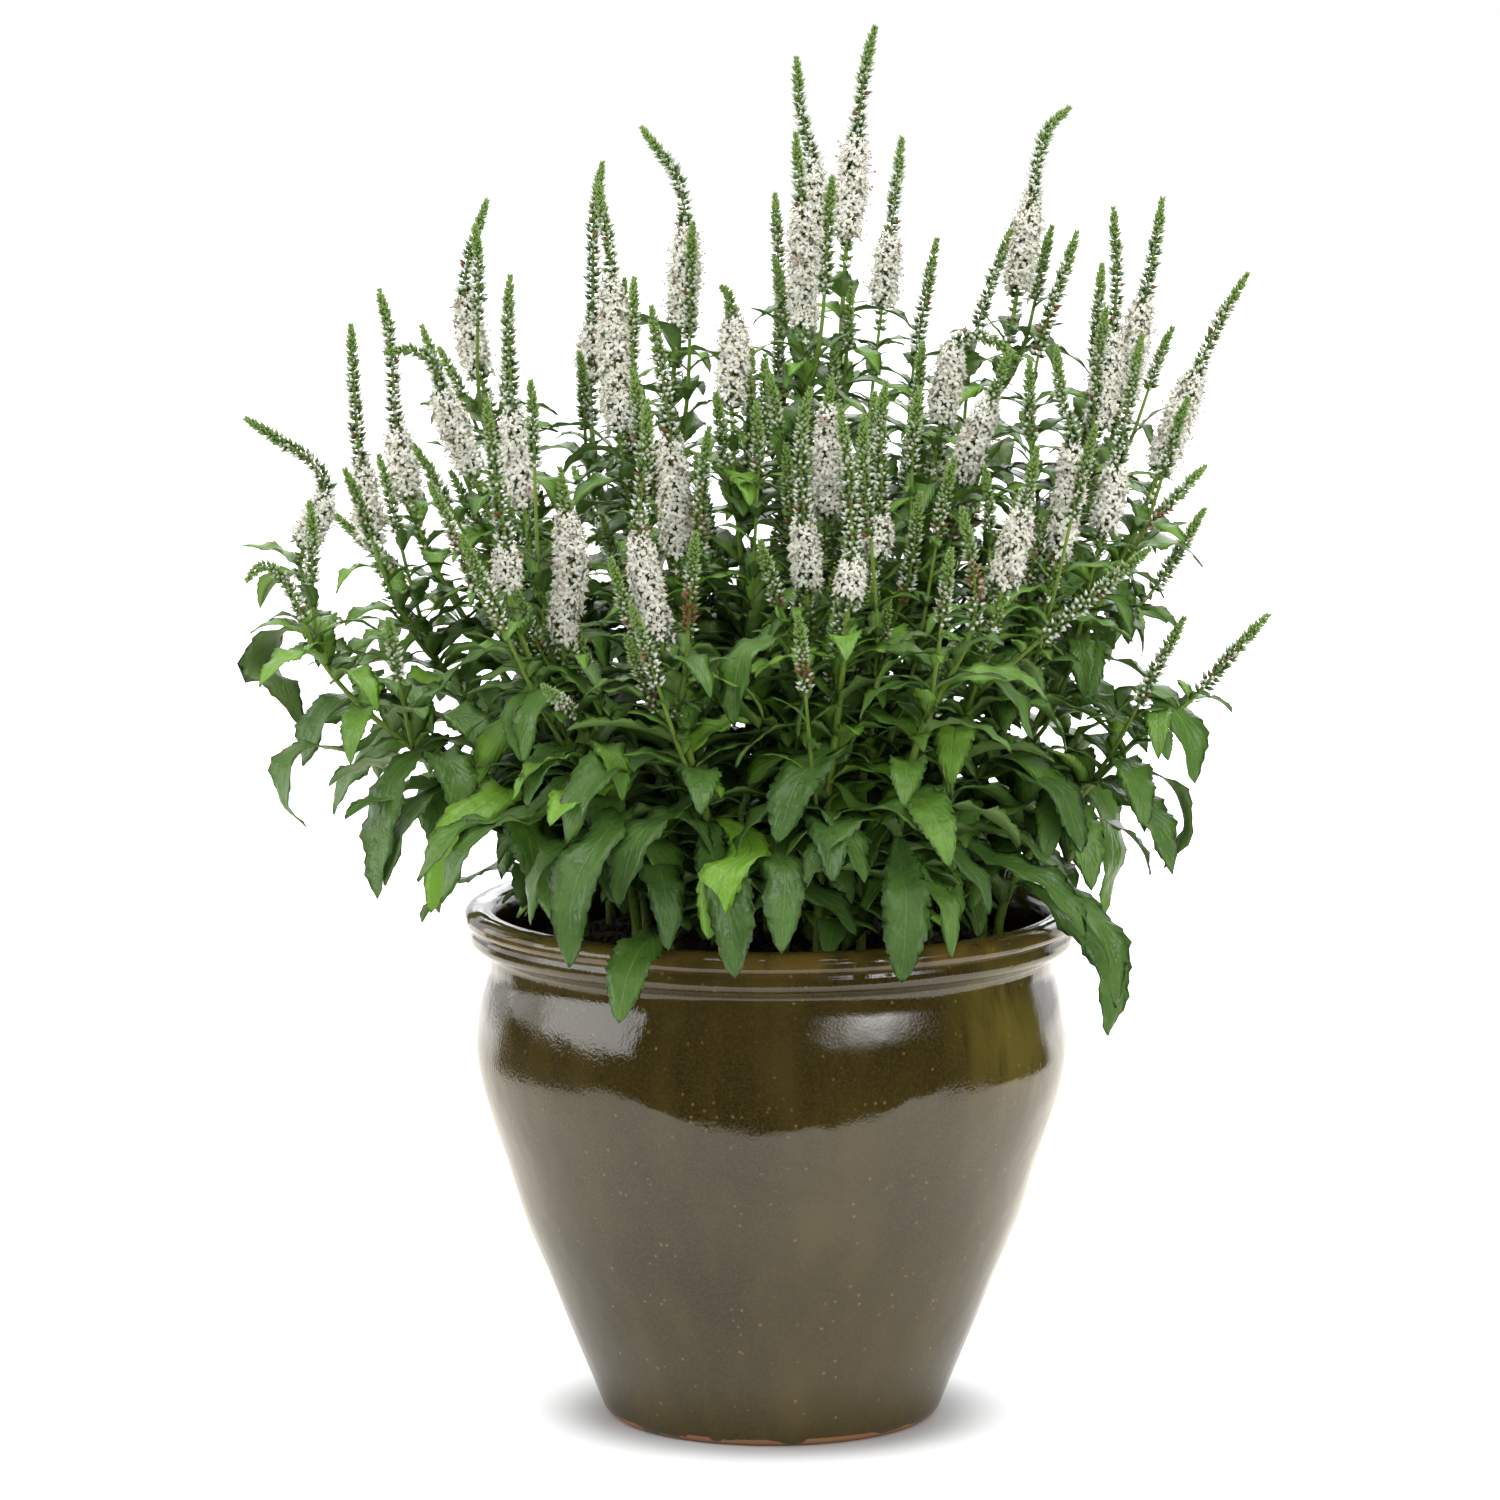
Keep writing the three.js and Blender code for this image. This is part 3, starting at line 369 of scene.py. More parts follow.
class SoilSettings(bpy.types.PropertyGroup):
    damp: colour_property("Damp soil", "Dark damp compost", (0.018, 0.011, 0.007))
    dry: colour_property("Dry soil", "Lighter dry compost", (0.075, 0.048, 0.030))
    crumbs: bpy.props.IntProperty(
        name="Crumbs", description="Loose crumbs on the soil", default=900, min=0, max=4000)
    crumb_size: length_property("Crumb size", "Mean width of a crumb", 0.0036, 0.001, 0.01)


class LeafSettings(bpy.types.PropertyGroup):
    dark: colour_property("Dark leaf", "Old leaves low down", (0.043, 0.096, 0.022))
    middle: colour_property("Green leaf", "Most leaves", (0.100, 0.212, 0.032))
    light: colour_property("Light leaf", "Young and lit leaves", (0.205, 0.420, 0.034))
    under: colour_property("Underside", "Paler underside", (0.180, 0.270, 0.075))
    rib: colour_property("Midrib", "Pale midrib", (0.250, 0.380, 0.085))
    stalk: colour_property("Stalk", "Stems and shoots", (0.220, 0.350, 0.040))
    thickness: length_property("Thickness", "Thickness of a blade", 0.0005, 0.0002, 0.001)
    ripple: share_property("Ripple", "How wavy the margins are", 0.17)
    tooth: share_property("Teeth", "Depth of the teeth at the margin", 0.075)


class SpikeSettings(bpy.types.PropertyGroup):
    bud_length: length_property("Bud length", "Length of the lowest buds", 0.0054, 0.001, 0.008)
    bud_width: length_property("Bud width", "Half width of a bud", 0.0012, 0.0003, 0.003)
    whorl_step: length_property("Whorl step", "Rise from whorl to whorl", 0.0029, 0.001, 0.01)
    bud_base: colour_property("Bud base", "Dark green at a bud's base", (0.018, 0.055, 0.010))
    bud_tip: colour_property("Bud tip", "Light green at a bud's tip", (0.250, 0.395, 0.095))
    bud_pale: colour_property("Opening bud", "Pale tip of a bud near the bloom",
                              (0.860, 0.880, 0.740))
    bud_spent: colour_property("Spent bud", "Dry brown buds low on a spike",
                               (0.230, 0.105, 0.035))
    floret_step: length_property("Floret step", "Rise from floret to floret",
                                 0.00045, 0.0001, 0.002)
    floret_size: length_property("Floret size", "Length of a floret", 0.0066, 0.002, 0.01)
    petal: colour_property("Petal", "White petals", (0.930, 0.925, 0.830))
    throat: colour_property("Throat", "Greenish throat of a floret", (0.500, 0.540, 0.300))
    anther: colour_property("Anther", "Ochre anthers", (0.600, 0.370, 0.120))


class StageSettings(bpy.types.PropertyGroup):
    elevation: bpy.props.FloatProperty(
        name="Camera elevation", description="Height of the view", default=math.radians(8.5),
        min=0, max=math.radians(80), subtype="ANGLE")
    distance: length_property("Camera distance", "From the plant's middle", 4.0, 1.0, 20.0)
    floor: colour_property("Floor", "Pale floor", (0.720, 0.720, 0.720))
    floor_in_glaze: colour_property("Floor in the glaze", "Its warm tint in the glaze",
                                    (0.790, 0.710, 0.580))
    front_edge: length_property("Front edge", "The floor's edge in front", 0.365, 0.2, 3.0)
    floor_glow: share_property("Floor glow", "Light of its own in the floor", 0.56, 0.0, 4.0)
    floor_mirrored: share_property("Floor mirrored", "How bright the glaze shows it",
                                   0.08, 0.0, 4.0)
    surround: share_property("Surround", "Grey light from all round", 0.38, 0.0, 2.0)
    behind: share_property("Behind", "How bright the glaze shows what is behind", 1.25, 0.0, 4.0)
    ahead: share_property("Ahead", "How bright the glaze shows what is in front", 0.04, 0.0, 4.0)
    overhead: share_property("Overhead light", "Brightness of the top light", 2.6, 0.0, 20.0)
    window: share_property("Left light", "Brightness of the left light", 3.7, 0.0, 20.0)
    front: share_property("Front light", "Brightness of the front light", 6.8, 0.0, 20.0)
    fill: share_property("Fill light", "Brightness of the fill light", 2.3, 0.0, 20.0)


# The tables.

def whole_numbers(words):
    return [int(word) for word in words.split()]


def read_plan(row):
    """A stem's or shoot's plan from its row: its start, its bloom or spike, and its points."""
    head, path = row.split(":")
    start, spike = head.split(",")
    colour, sizes = spike.split(maxsplit=1)
    return {"start": whole_numbers(start), "points": [*map(whole_numbers, path.split(","))],
            colour: whole_numbers(sizes), "shoots": []}


def read_stems():
    plans = []
    for row in STEM_TABLE.strip().splitlines():
        if row.startswith(" "):
            plans[-1]["shoots"].append(read_plan(row))
        else:
            plans.append(read_plan(row))
    return plans


def read_draped():
    for row in DRAPED_TABLE.strip().splitlines():
        looks, path = row.split(":")
        yield *map(float, looks.split()), [*map(whole_numbers, path.split(","))]


# Growth: the same rule as the solids.

def unit(rows):
    rows = np.asarray(rows, float)
    return rows / np.linalg.norm(rows, axis=-1, keepdims=True)


def bezier(part, share):
    share = np.asarray(share, float)[:, None]
    rest = 1 - share
    return (rest ** 3 * part[0] + 3 * rest ** 2 * share * part[1]
            + 3 * rest * share ** 2 * part[2] + share ** 3 * part[3])


class Line:
    """A smooth line through points, which starts along a heading and is measured by length."""

    SHARES = np.linspace(0, 1, 201)

    def __init__(self, points, start):
        points = [np.array(point, float) for point in points]
        headings = [unit(start)]
        for i in range(1, len(points)):
            heading = unit(points[i] - points[i - 1])
            if i < len(points) - 1:
                heading = unit(heading + unit(points[i + 1] - points[i]))
            headings.append(heading)
        self.parts = []
        self.marks = []
        for i in range(1, len(points)):
            reach = np.linalg.norm(points[i] - points[i - 1]) / 3
            leave = points[i - 1] + headings[i - 1] * reach
            arrive = points[i] - headings[i] * reach
            part = np.array([points[i - 1], leave, arrive, points[i]])
            steps = np.linalg.norm(np.diff(bezier(part, self.SHARES), axis=0), axis=1)
            self.parts.append(part)
            self.marks.append(np.concatenate([[0], np.cumsum(steps)]))
        self.ends = np.cumsum([marks[-1] for marks in self.marks])
        self.length = self.ends[-1]

    def places(self, distances):
        distances = np.clip(np.atleast_1d(np.asarray(distances, float)), 0, self.length)
        which = np.minimum(np.searchsorted(self.ends, distances), len(self.parts) - 1)
        found = np.empty((len(distances), 3))
        for k, (part, marks) in enumerate(zip(self.parts, self.marks)):
            here = which == k
            along = distances[here] - (self.ends[k] - marks[-1])
            found[here] = bezier(part, np.interp(along, marks, self.SHARES))
        return found

    def frames(self, distances):
        """Places, tangents and the two directions across the line, at distances along it."""
        distances = np.clip(np.atleast_1d(np.asarray(distances, float)), 0, self.length)
        ahead = self.places(np.minimum(distances + 1, self.length))
        behind = self.places(np.maximum(distances - 1, 0))
        tangent = unit(ahead - behind)
        across = unit(np.cross([0, 1, 0], tangent))
        return self.places(distances), tangent, across, np.cross(tangent, across)


class Axis:
    """A stem or shoot: its line, where its bloom and bud spike lie, and its leafy levels."""

    def __init__(self, plan, line, radius, first_level, turn, draw, face=None):
        self.plan = plan
        self.line = line
        self.radius = radius
        self.turn = turn
        self.face = face
        self.length = line.length
        sizes = plan.get("white") or plan["green"]
        self.bloom_end = self.length - sizes[0]
        self.bloom_start = self.length - sizes[-1]
        self.flowered = 0
        if "white" in plan:
            self.flowered = 24 + self.length * 7 % 26 if face is None else 14
        self.levels = []
        at = first_level
        while at < self.bloom_start - BARE_NECK:
            self.levels.append({"at": at, "shoots": []})
            at += PAIR_STEP * (0.8 + draw() * 0.4)

    def looks(self, at, face):
        """The direction that a face of the axis looks in."""
        _, _, across, over = self.line.frames(at)
        angle = (face + 0.5 + self.turn) * (math.pi / 2)
        return across[0] * math.cos(angle) + over[0] * math.sin(angle)

    def thickness(self, at):
        """Radius of the stalk at distances along it."""
        share = np.clip(np.asarray(at, float) / self.length, 0, 1)
        return self.radius + (0.55 - self.radius) * share ** 1.2


def seeded(seed):
    """A repeatable run of numbers between 0 and 1."""
    state = seed * SEED_SCALE % DRAW_RANGE

    def draw():
        nonlocal state
        state = state * DRAW_FACTOR % DRAW_RANGE
        return state / DRAW_RANGE
    return draw


def stem_node(index):
    return f"leafy_stem_{index + 1:02d}"


def grow_stem(plan, index):
    """A stem with its shoots, each set just above the level of leaves nearest to its place."""
    draw = seeded(FIRST_SEED + index * SEED_STEP)
    x, y = plan["start"]
    shaded = max(0, 1 - math.hypot(x, y) / OUTER_CIRCLE) * BARE_INSIDE
    first = FIRST_PAIR + shaded + draw() * PAIR_STEP * 0.7
    line = Line([(x, y, COLLAR), *plan["points"]], (0, 0, 1))
    stem = Axis(plan, line, STEM_RADIUS, first, math.atan2(y, x) / (math.pi / 2) - 0.5, draw)
    for shoot_plan in plan["shoots"]:
        low = [level for level in stem.levels if level["at"] < stem.bloom_start - BELOW_BLOOM]
        level = min(low, key=lambda one: abs(one["at"] - shoot_plan["start"][0])
                    + PAIR_STEP * len(one["shoots"]))
        start = level["at"] + 1.5 * LEAF_BASE
        root = line.places(start)[0]
        outward = np.array(shoot_plan["points"][-1], float) - root
        heading = unit(np.array([outward[0], outward[1], 0])) * 0.8 + np.array([0, 0, 0.7])
        path = Line([root, *shoot_plan["points"]], heading)
        leaving = path.places(6)[0] - root
        taken = [shoot.face for shoot in level["shoots"]]
        free = [face for face in range(4) if face not in taken]
        face = max(free, key=lambda one: stem.looks(start, one) @ leaving)
        first_leaves = FIRST_ON_SHOOT if len(shoot_plan["points"]) > 1 else math.inf
        level["shoots"].append(Axis(shoot_plan, path, TWIG_RADIUS, first_leaves, 0, draw, face))
    stem.draw = draw
    return stem


def all_axes(stem):
    return [stem] + [shoot for level in stem.levels for shoot in level["shoots"]]


def mix(a, b, share):
    return a + (b - a) * share


def midrib(rise, droop, length, shares):
    """How far out and up a leaf's midrib reaches at shares of its length."""
    shares = np.asarray(shares, float)[:, None]
    steps = (np.arange(MIDRIB_STEPS) + 0.5) / MIDRIB_STEPS
    angle = rise - (rise + droop) * (shares * steps) ** BEND_EARLY
    return [(turned(angle) * length * shares / MIDRIB_STEPS).sum(axis=1)
            for turned in (np.cos, np.sin)]


class Leaf:
    """One leaf: the points of its midrib, the direction across it, and its looks."""

    SHARES = np.linspace(0, 1, 33)

    def __init__(self, points, side, length, slender=LEAF_SLENDER, light=0.5, young=0.5,
                 hanging=False):
        self.points = points
        self.side = side
        self.length = length
        self.slender = min(slender, WIDEST_HALF / length)
        self.light = light
        self.young = young
        self.widest = 1.3 if hanging else mix(1.0, 0.75, young)

    @classmethod
    def arched(cls, place, turn, length, rise, droop, **looks):
        out, up = midrib(rise, droop, length, cls.SHARES)
        ahead = np.array([math.cos(turn), math.sin(turn), 0])
        points = place + out[:, None] * ahead + up[:, None] * np.array([0, 0, 1])
        return cls(points, np.array([-math.sin(turn), math.cos(turn), 0]), length, **looks)

    @classmethod
    def draped(cls, root, points, **looks):
        start = unit(np.array(points[0], float) - root) + np.array([0, 0, 0.5])
        line = Line([root, *points], start)
        out = np.array(points[-1], float) - root
        out = unit(np.array([out[0], out[1], 0]))
        side = np.array([-out[1], out[0], 0])
        return cls(line.places(cls.SHARES * line.length), side, line.length, hanging=True,
                   **looks)


def leaf_plan(axis, at, face, swing, length, rise, droop):
    """A leaf's place and heading on a face of its axis, its length and how it arches."""
    looks = axis.looks(at, face)
    return {"place": axis.line.places(at)[0], "turn": math.atan2(looks[1], looks[0]) + swing,
            "length": length, "rise": rise, "droop": droop}


def pair_plans(axis, at, index, share, draw):
    """The plans of a pair of the solids' leaves."""
    short = 1 if axis.face is None else SHOOT_LEAF
    length = mix(LEAF_LOWEST, LEAF_HIGHEST, share ** 1.3) * short
    plans = [leaf_plan(axis, at, (half + index) % 4, (draw() - 0.5) * 0.4,
                       length * (0.9 + draw() * 0.2),
                       mix(*LEAF_RISES, share) + (draw() - 0.5) * 0.4,
                       mix(*LEAF_DROOPS, share) + (draw() - 0.5) * 0.8) for half in (0, 2)]
    base = axis.line.places(at + LEAF_BASE / 2)[0]
    return [{**plan, "place": base} for plan in plans]


def leaf_try(plan, attempt):
    swing = math.ceil((attempt % 5) / 2) * (1 if attempt % 2 else -1) * 0.3
    lap = attempt // 5
    return {"place": plan["place"], "turn": plan["turn"] + swing,
            "length": plan["length"] * (1 - 0.15 * lap), "rise": plan["rise"] + 0.16 * lap,
            "droop": plan["droop"] - 0.2 * lap}


def corner_finder(node):
    """Finds whether a solid has a corner at a point, in millimetres."""
    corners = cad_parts[node].data.vertices
    tree = KDTree(len(corners))
    for i, corner in enumerate(corners):
        tree.insert(corner.co / MM, i)
    tree.balance()
    return lambda point: tree.find(Vector(point))[2] < SAME_PLACE


def solid_leaves(stem, index, rng):
    """The leaves that the stem's solid has: of each leaf's tries, the one whose tip it has."""
    has_corner = corner_finder(stem_node(index))
    axes = all_axes(stem)
    leaves = []
    for i in range(max(len(axis.levels) for axis in axes)):
        for axis in axes:
            if i >= len(axis.levels):
                continue
            at = axis.levels[i]["at"]
            share = min(1, at / axis.bloom_start)
            for plan in pair_plans(axis, at, i, share, stem.draw):
                for attempt in range(TRIES):
                    leaf = Leaf.arched(**leaf_try(plan, attempt), light=rng.random(),
                                       young=share)
                    if has_corner(leaf.points[-1]):
                        leaves.append(leaf)
                        break
    return leaves


POT_OUTLINE = np.array(BODY + LIP[:10])


def is_clear(leaf):
    """Whether a leaf keeps clear of the pot's wall and the soil, and inside the solids' box."""
    low_corner, high_corner = (np.array(corner) / MM for corner in CAD_BOX)
    inner = (leaf.points > low_corner - 4) & (leaf.points < high_corner + 4)
    radius = np.hypot(leaf.points[6:, 0], leaf.points[6:, 1])
    height = leaf.points[6:, 2] - leaf.length * 0.03
    outside = np.interp(height, POT_OUTLINE[:, 1], POT_OUTLINE[:, 0]) + 3
    low = height < POT_HEIGHT + 2
    hits = low & (radius < outside) & ((radius > WALL_INSIDE) | (height < SOIL_CROWN + 4))
    return np.all(inner) and not np.any(hits)


def hides_bloom(points, width):
    """Whether points lie in front of a white bloom, seen from the plant's front."""
    for bloom in plant()["blooms"]:
        gaps = np.linalg.norm(points[:, None, ::2] - bloom[None, :, ::2], axis=2)
        ahead = points[:, None, 1] < bloom[None, :, 1] - 4
        if np.any((gaps < width) & ahead):
            return True
    return False


def add_if_clear(leaves, plan, **looks):
    """Adds an arched leaf, raised step by step until it is clear."""
    for lap in range(6):
        leaf = Leaf.arched(plan["place"], plan["turn"], plan["length"],
                           plan["rise"] + 0.14 * lap, plan["droop"] - 0.3 * lap, **looks)
        if is_clear(leaf):
            if not hides_bloom(leaf.points[::4], LEAF_BEFORE_BLOOM):
                leaves.append(leaf)
            return


def between_leaves(axis, rng):
    """Leaves between the pairs of the solids: two pairs more, and small ones in the axils."""
    leaves = []
    marks = [level["at"] for level in axis.levels]
    short = 1 if axis.face is None else SHOOT_LEAF
    spots = []
    if axis.face is None:
        below = np.arange(marks[0] - LOW_STEP, 10, -LOW_STEP)
        spots = [(at, face, 1.0) for k, at in enumerate(below) for face in (k + 1.3, k + 3.3)]
    for i, at in enumerate(marks):
        upper = marks[i + 1] if i + 1 < len(marks) else axis.bloom_start
        for room, below, share, turn, scale in ADDED_PAIRS:
            if upper - at > room and at < axis.bloom_start * below:
                spots += [(mix(at, upper, share), i + half + turn, scale) for half in (0, 2)]
        above, turn, scale = AXIL_LEAVES
        spots += [(at + above, i + half + turn, scale) for half in (0, 2)]
    for at, face, scale in spots:
        share = min(1, max(0, at) / axis.bloom_start)
        small = scale < 0.5
        length = mix(LEAF_LOWEST, LEAF_HIGHEST, share ** 1.9) * short * scale
        plan = leaf_plan(axis, at, face, rng.normal(0, 0.3), length * rng.uniform(0.8, 1.1),
                         mix(0.5, 0.95, share) + rng.normal(0, 0.2) + 0.35 * small,
                         mix(1.4, 0.8, share) + rng.normal(0, 0.35) - 0.5 * small)
        add_if_clear(leaves, plan, slender=rng.uniform(0.135, 0.18), light=rng.random(),
                     young=share)
    return leaves


def spike_foot_leaves(axis, rng):
    """Small narrow leaves below a spike, pair over pair, each turned against the last."""
    start = axis.levels[-1]["at"] + 18 if axis.levels else 6
    leaves = []
    end = axis.bloom_start - axis.flowered - 3
    for i, at in enumerate(np.arange(start, end, SPIKE_LEAF_STEP)):
        share = min(1, at / axis.bloom_start)
        for face in (i + 0.5, i + 2.5):
            plan = leaf_plan(axis, at, face, rng.normal(0, 0.2),
                             mix(42, 17, share) * rng.uniform(0.8, 1.15),
                             1.05 + rng.normal(0, 0.12), 0.15 + rng.normal(0, 0.35))
            add_if_clear(leaves, plan, slender=0.165, light=rng.random(), young=0.7)
    return leaves


def side_spikes(stem, rng):
    """Short green spikes out of the upper leaf axils, which have no solid of their own."""
    heights = stem.line.places(np.arange(0, stem.bloom_start, 4))[:, 2]
    spikes = []
    for height in rng.uniform(*SPIKE_HEIGHTS, SIDE_SPIKES):
        at = min(np.searchsorted(heights, height) * 4,
                 stem.bloom_start - rng.uniform(*SPIKE_BELOW_BLOOM))
        root, tangent, _, _ = (rows[0] for rows in stem.line.frames(at))
        turn = rng.uniform(-0.2, math.pi + 0.2)
        out = np.array([math.cos(turn), math.sin(turn), 0])
        rise = rng.uniform(*SPIKE_LENGTHS)
        aside = out * rng.uniform(*SPIKE_ASIDE)
        tip = root + tangent * rise + aside
        path = Line([root, root + tangent * rise * 0.4 + aside * 0.75, tip],
                    out * 0.8 + np.array([0, 0, 0.7]))
        inside = abs(tip[0]) < SPIKES_WITHIN and abs(tip[1]) < SPIKES_WITHIN
        along = path.places(np.arange(0, path.length, 6))
        if inside and not hides_bloom(along, SPIKE_BEFORE_BLOOM):
            plan = {"green": [rise * rng.uniform(0.5, 0.7)]}
            spikes.append(Axis(plan, path, TWIG_RADIUS, math.inf, 0, None, 0))
    return spikes


def draped_leaves(stems):
    """The large hanging leaves, each on the stem that passes nearest to its start."""
    samples = [stem.line.places(np.arange(10, stem.bloom_start, 5)) for stem in stems]
    found = [[] for _ in stems]
    for light, slender, points in read_draped():
        gaps = [np.linalg.norm(sample - np.array(points[0]), axis=1) for sample in samples]
        index = min(range(len(stems)), key=lambda k: gaps[k].min())
        root = samples[index][gaps[index].argmin()]
        found[index].append(Leaf.draped(root, points, slender=slender, light=light, young=0.3))
    return found


# Shapes: each is modelled once with the mesh tools, and its copies fill the pieces.

def clear_selection():
    if bpy.context.mode != "OBJECT":
        bpy.ops.object.mode_set(mode="OBJECT")
    bpy.ops.object.select_all(action="DESELECT")


def start_shape(adder, **values):
    clear_selection()
    adder(**values)
    return bpy.context.object


def choose(shape, keep, kind="VERT"):
    """Enters edit mode with only those corners, edges or faces selected that keep() is true
    for: it is given a corner's place, an edge's two places, or a face's middle and normal."""
    bpy.ops.object.mode_set(mode="EDIT")
    bpy.ops.mesh.select_mode(type=kind)
    bpy.ops.mesh.select_all(action="DESELECT")
    bpy.ops.object.mode_set(mode="OBJECT")
    mesh, stand = shape.data, shape.matrix_world
    if kind == "VERT":
        for vertex in mesh.vertices:
            vertex.select = keep(stand @ vertex.co)
    elif kind == "EDGE":
        for edge in mesh.edges:
            edge.select = keep(*(stand @ mesh.vertices[i].co for i in edge.vertices))
    else:
        for face in mesh.polygons:
            face.select = keep(stand @ face.center, face.normal)
    bpy.ops.object.mode_set(mode="EDIT")


def take_shape(shape):
    """A modelled shape's corners and triangles, after which the model is put away."""
    clear_selection()
    mesh = shape.data
    mesh.transform(shape.matrix_world)
    mesh.calc_loop_triangles()
    corners = np.empty(len(mesh.vertices) * 3)
    mesh.vertices.foreach_get("co", corners)
    faces = np.empty(len(mesh.loop_triangles) * 3, np.int64)
    mesh.loop_triangles.foreach_get("vertices", faces)
    bpy.data.objects.remove(shape)
    bpy.data.meshes.remove(mesh)
    return corners.reshape(-1, 3), faces.reshape(-1, 3)


def stalk_shape(rings):
    """A seven-sided stalk of unit radius and height, cut into rings."""
    shape = start_shape(bpy.ops.mesh.primitive_cylinder_add, vertices=7, radius=1, depth=1,
                        location=(0, 0, 0.5))
    choose(shape, lambda a, b: abs(a.z - b.z) > 0.5, "EDGE")
    bpy.ops.mesh.subdivide(number_cuts=rings)
    return take_shape(shape)


def blade_shape(along, across, tooth):
    """A thin closed blade: x is the share along it, y the share across, z the side it is on."""
    shape = start_shape(bpy.ops.mesh.primitive_grid_add, x_subdivisions=along,
                        y_subdivisions=across, size=2)
    wall = shape.modifiers.new("Thickness", "SOLIDIFY")
    wall.thickness = 0.1
    wall.offset = 0
    bpy.ops.object.modifier_apply(modifier=wall.name)
    choose(shape, lambda co: abs(co.x) > 0.999 or abs(co.y) > 0.999)
    bpy.ops.transform.resize(value=(1, 1, 0))
    bpy.ops.mesh.remove_doubles(threshold=0.001)
    corners, faces = take_shape(shape)
    share = (corners[:, 0] + 1) / 2
    station = np.round(share * along).astype(int)
    margin = (np.abs(corners[:, 1]) > 0.999) & (share > 0.1) & (share < 0.97)
    odd = station % 2 == 1
    side = corners[:, 1] * np.where(margin, np.where(odd, 1 - tooth, 1 + tooth * 0.4), 1)
    share = share + np.where(margin & ~odd, 0.35 / along, 0)
    return np.stack([share, side, np.sign(np.round(corners[:, 2], 4))], axis=1), faces


def bud_shape():
    """A bud of unit length, pointed at both ends, on five sides."""
    shape = start_shape(bpy.ops.mesh.primitive_cone_add, vertices=5, radius1=1, radius2=0,
                        depth=0.58, location=(0, 0, 0.71))
    choose(shape, lambda middle, normal: normal.z < -0.9, "FACE")
    bpy.ops.mesh.extrude_region_move(TRANSFORM_OT_translate={"value": (0, 0, -0.42)})
    bpy.ops.mesh.merge(type="CENTER")
    return take_shape(shape)


def floret_shape():
    """A floret: a slender tube with four petals, drawn out of its sides, wide in the middle
    and pointed at the end."""
    shape = start_shape(bpy.ops.mesh.primitive_cone_add, vertices=4, radius1=0, radius2=0.16,
                        depth=0.5, location=(0, 0, 0.25))
    choose(shape, lambda co: co.z > 0.4)
    bpy.ops.mesh.extrude_region_move(TRANSFORM_OT_translate={"value": (0, 0, 0.07)})
    choose(shape, lambda middle, normal: middle.z > 0.51 and abs(normal.z) < 0.9, "FACE")
    bpy.ops.mesh.extrude_faces_move(TRANSFORM_OT_shrink_fatten={"value": 0.42})
    bpy.ops.mesh.extrude_faces_move(TRANSFORM_OT_shrink_fatten={"value": 0.38})
    bpy.ops.mesh.merge(type="COLLAPSE")
    corners, faces = take_shape(shape)
    reach = np.hypot(corners[:, 0], corners[:, 1])
    corners[:, 2] += np.where(reach > 0.7, 0.2, np.where(reach > 0.3, 0.06, 0))
    quarter = np.floor(np.arctan2(corners[:, 1], corners[:, 0]) / (math.pi / 2)) + 0.5
    middle = np.stack([np.cos(quarter * math.pi / 2), np.sin(quarter * math.pi / 2)], axis=1)
    along = (corners[:, :2] * middle).sum(axis=1, keepdims=True) * middle
    widened = along + (corners[:, :2] - along) * 2.6
    wide = (reach > 0.3) & (reach < 0.7)
    corners[:, :2] = np.where(wide[:, None], widened, corners[:, :2])
    return corners, faces


def stamen_shape():
    """A thin filament that ends in a small anther."""
    shape = start_shape(bpy.ops.mesh.primitive_cone_add, vertices=3, radius1=0.045, radius2=0.03,
                        depth=0.62, location=(0, 0, 0.71))
    choose(shape, lambda co: co.z > 0.8)
    bpy.ops.mesh.extrude_region_move(TRANSFORM_OT_translate={"value": (0, 0, 0.07)})
    bpy.ops.transform.resize(value=(5, 5, 1))
    bpy.ops.mesh.extrude_region_move(TRANSFORM_OT_translate={"value": (0, 0, 0.07)})
    bpy.ops.mesh.merge(type="CENTER")
    return take_shape(shape)


def crumb_shape():
    shape = start_shape(bpy.ops.mesh.primitive_ico_sphere_add, subdivisions=1, radius=1)
    choose(shape, lambda co: co.z < -0.4)
    bpy.ops.transform.resize(value=(1.2, 0.8, 0.6))
    return take_shape(shape)


def lathe(name, outline, steps):
    """A body of revolution from (radius, height) points in millimetres that begin and end on
    the axis: one vertex is extruded along them and the line is spun round."""
    shape = start_shape(bpy.ops.mesh.primitive_circle_add, vertices=3, radius=0.01)
    bpy.ops.object.mode_set(mode="EDIT")
    bpy.ops.mesh.select_all(action="SELECT")
    bpy.ops.mesh.merge(type="CENTER")
    place = np.zeros(2)
    for point in np.array(outline, float) * MM:
        step = point - place
        if np.any(step):
            move = {"value": (step[0], 0, step[1])}
            bpy.ops.mesh.extrude_region_move(TRANSFORM_OT_translate=move)
        place = point
    bpy.ops.mesh.select_all(action="SELECT")
    bpy.ops.mesh.spin(steps=steps, angle=math.tau, center=(0, 0, 0), axis=(0, 0, 1))
    bpy.ops.mesh.select_all(action="SELECT")
    bpy.ops.mesh.remove_doubles(threshold=1e-5)
    bpy.ops.mesh.normals_make_consistent(inside=False)
    bpy.ops.object.mode_set(mode="OBJECT")
    shape.name = name
    shape.data.name = name
    return shape


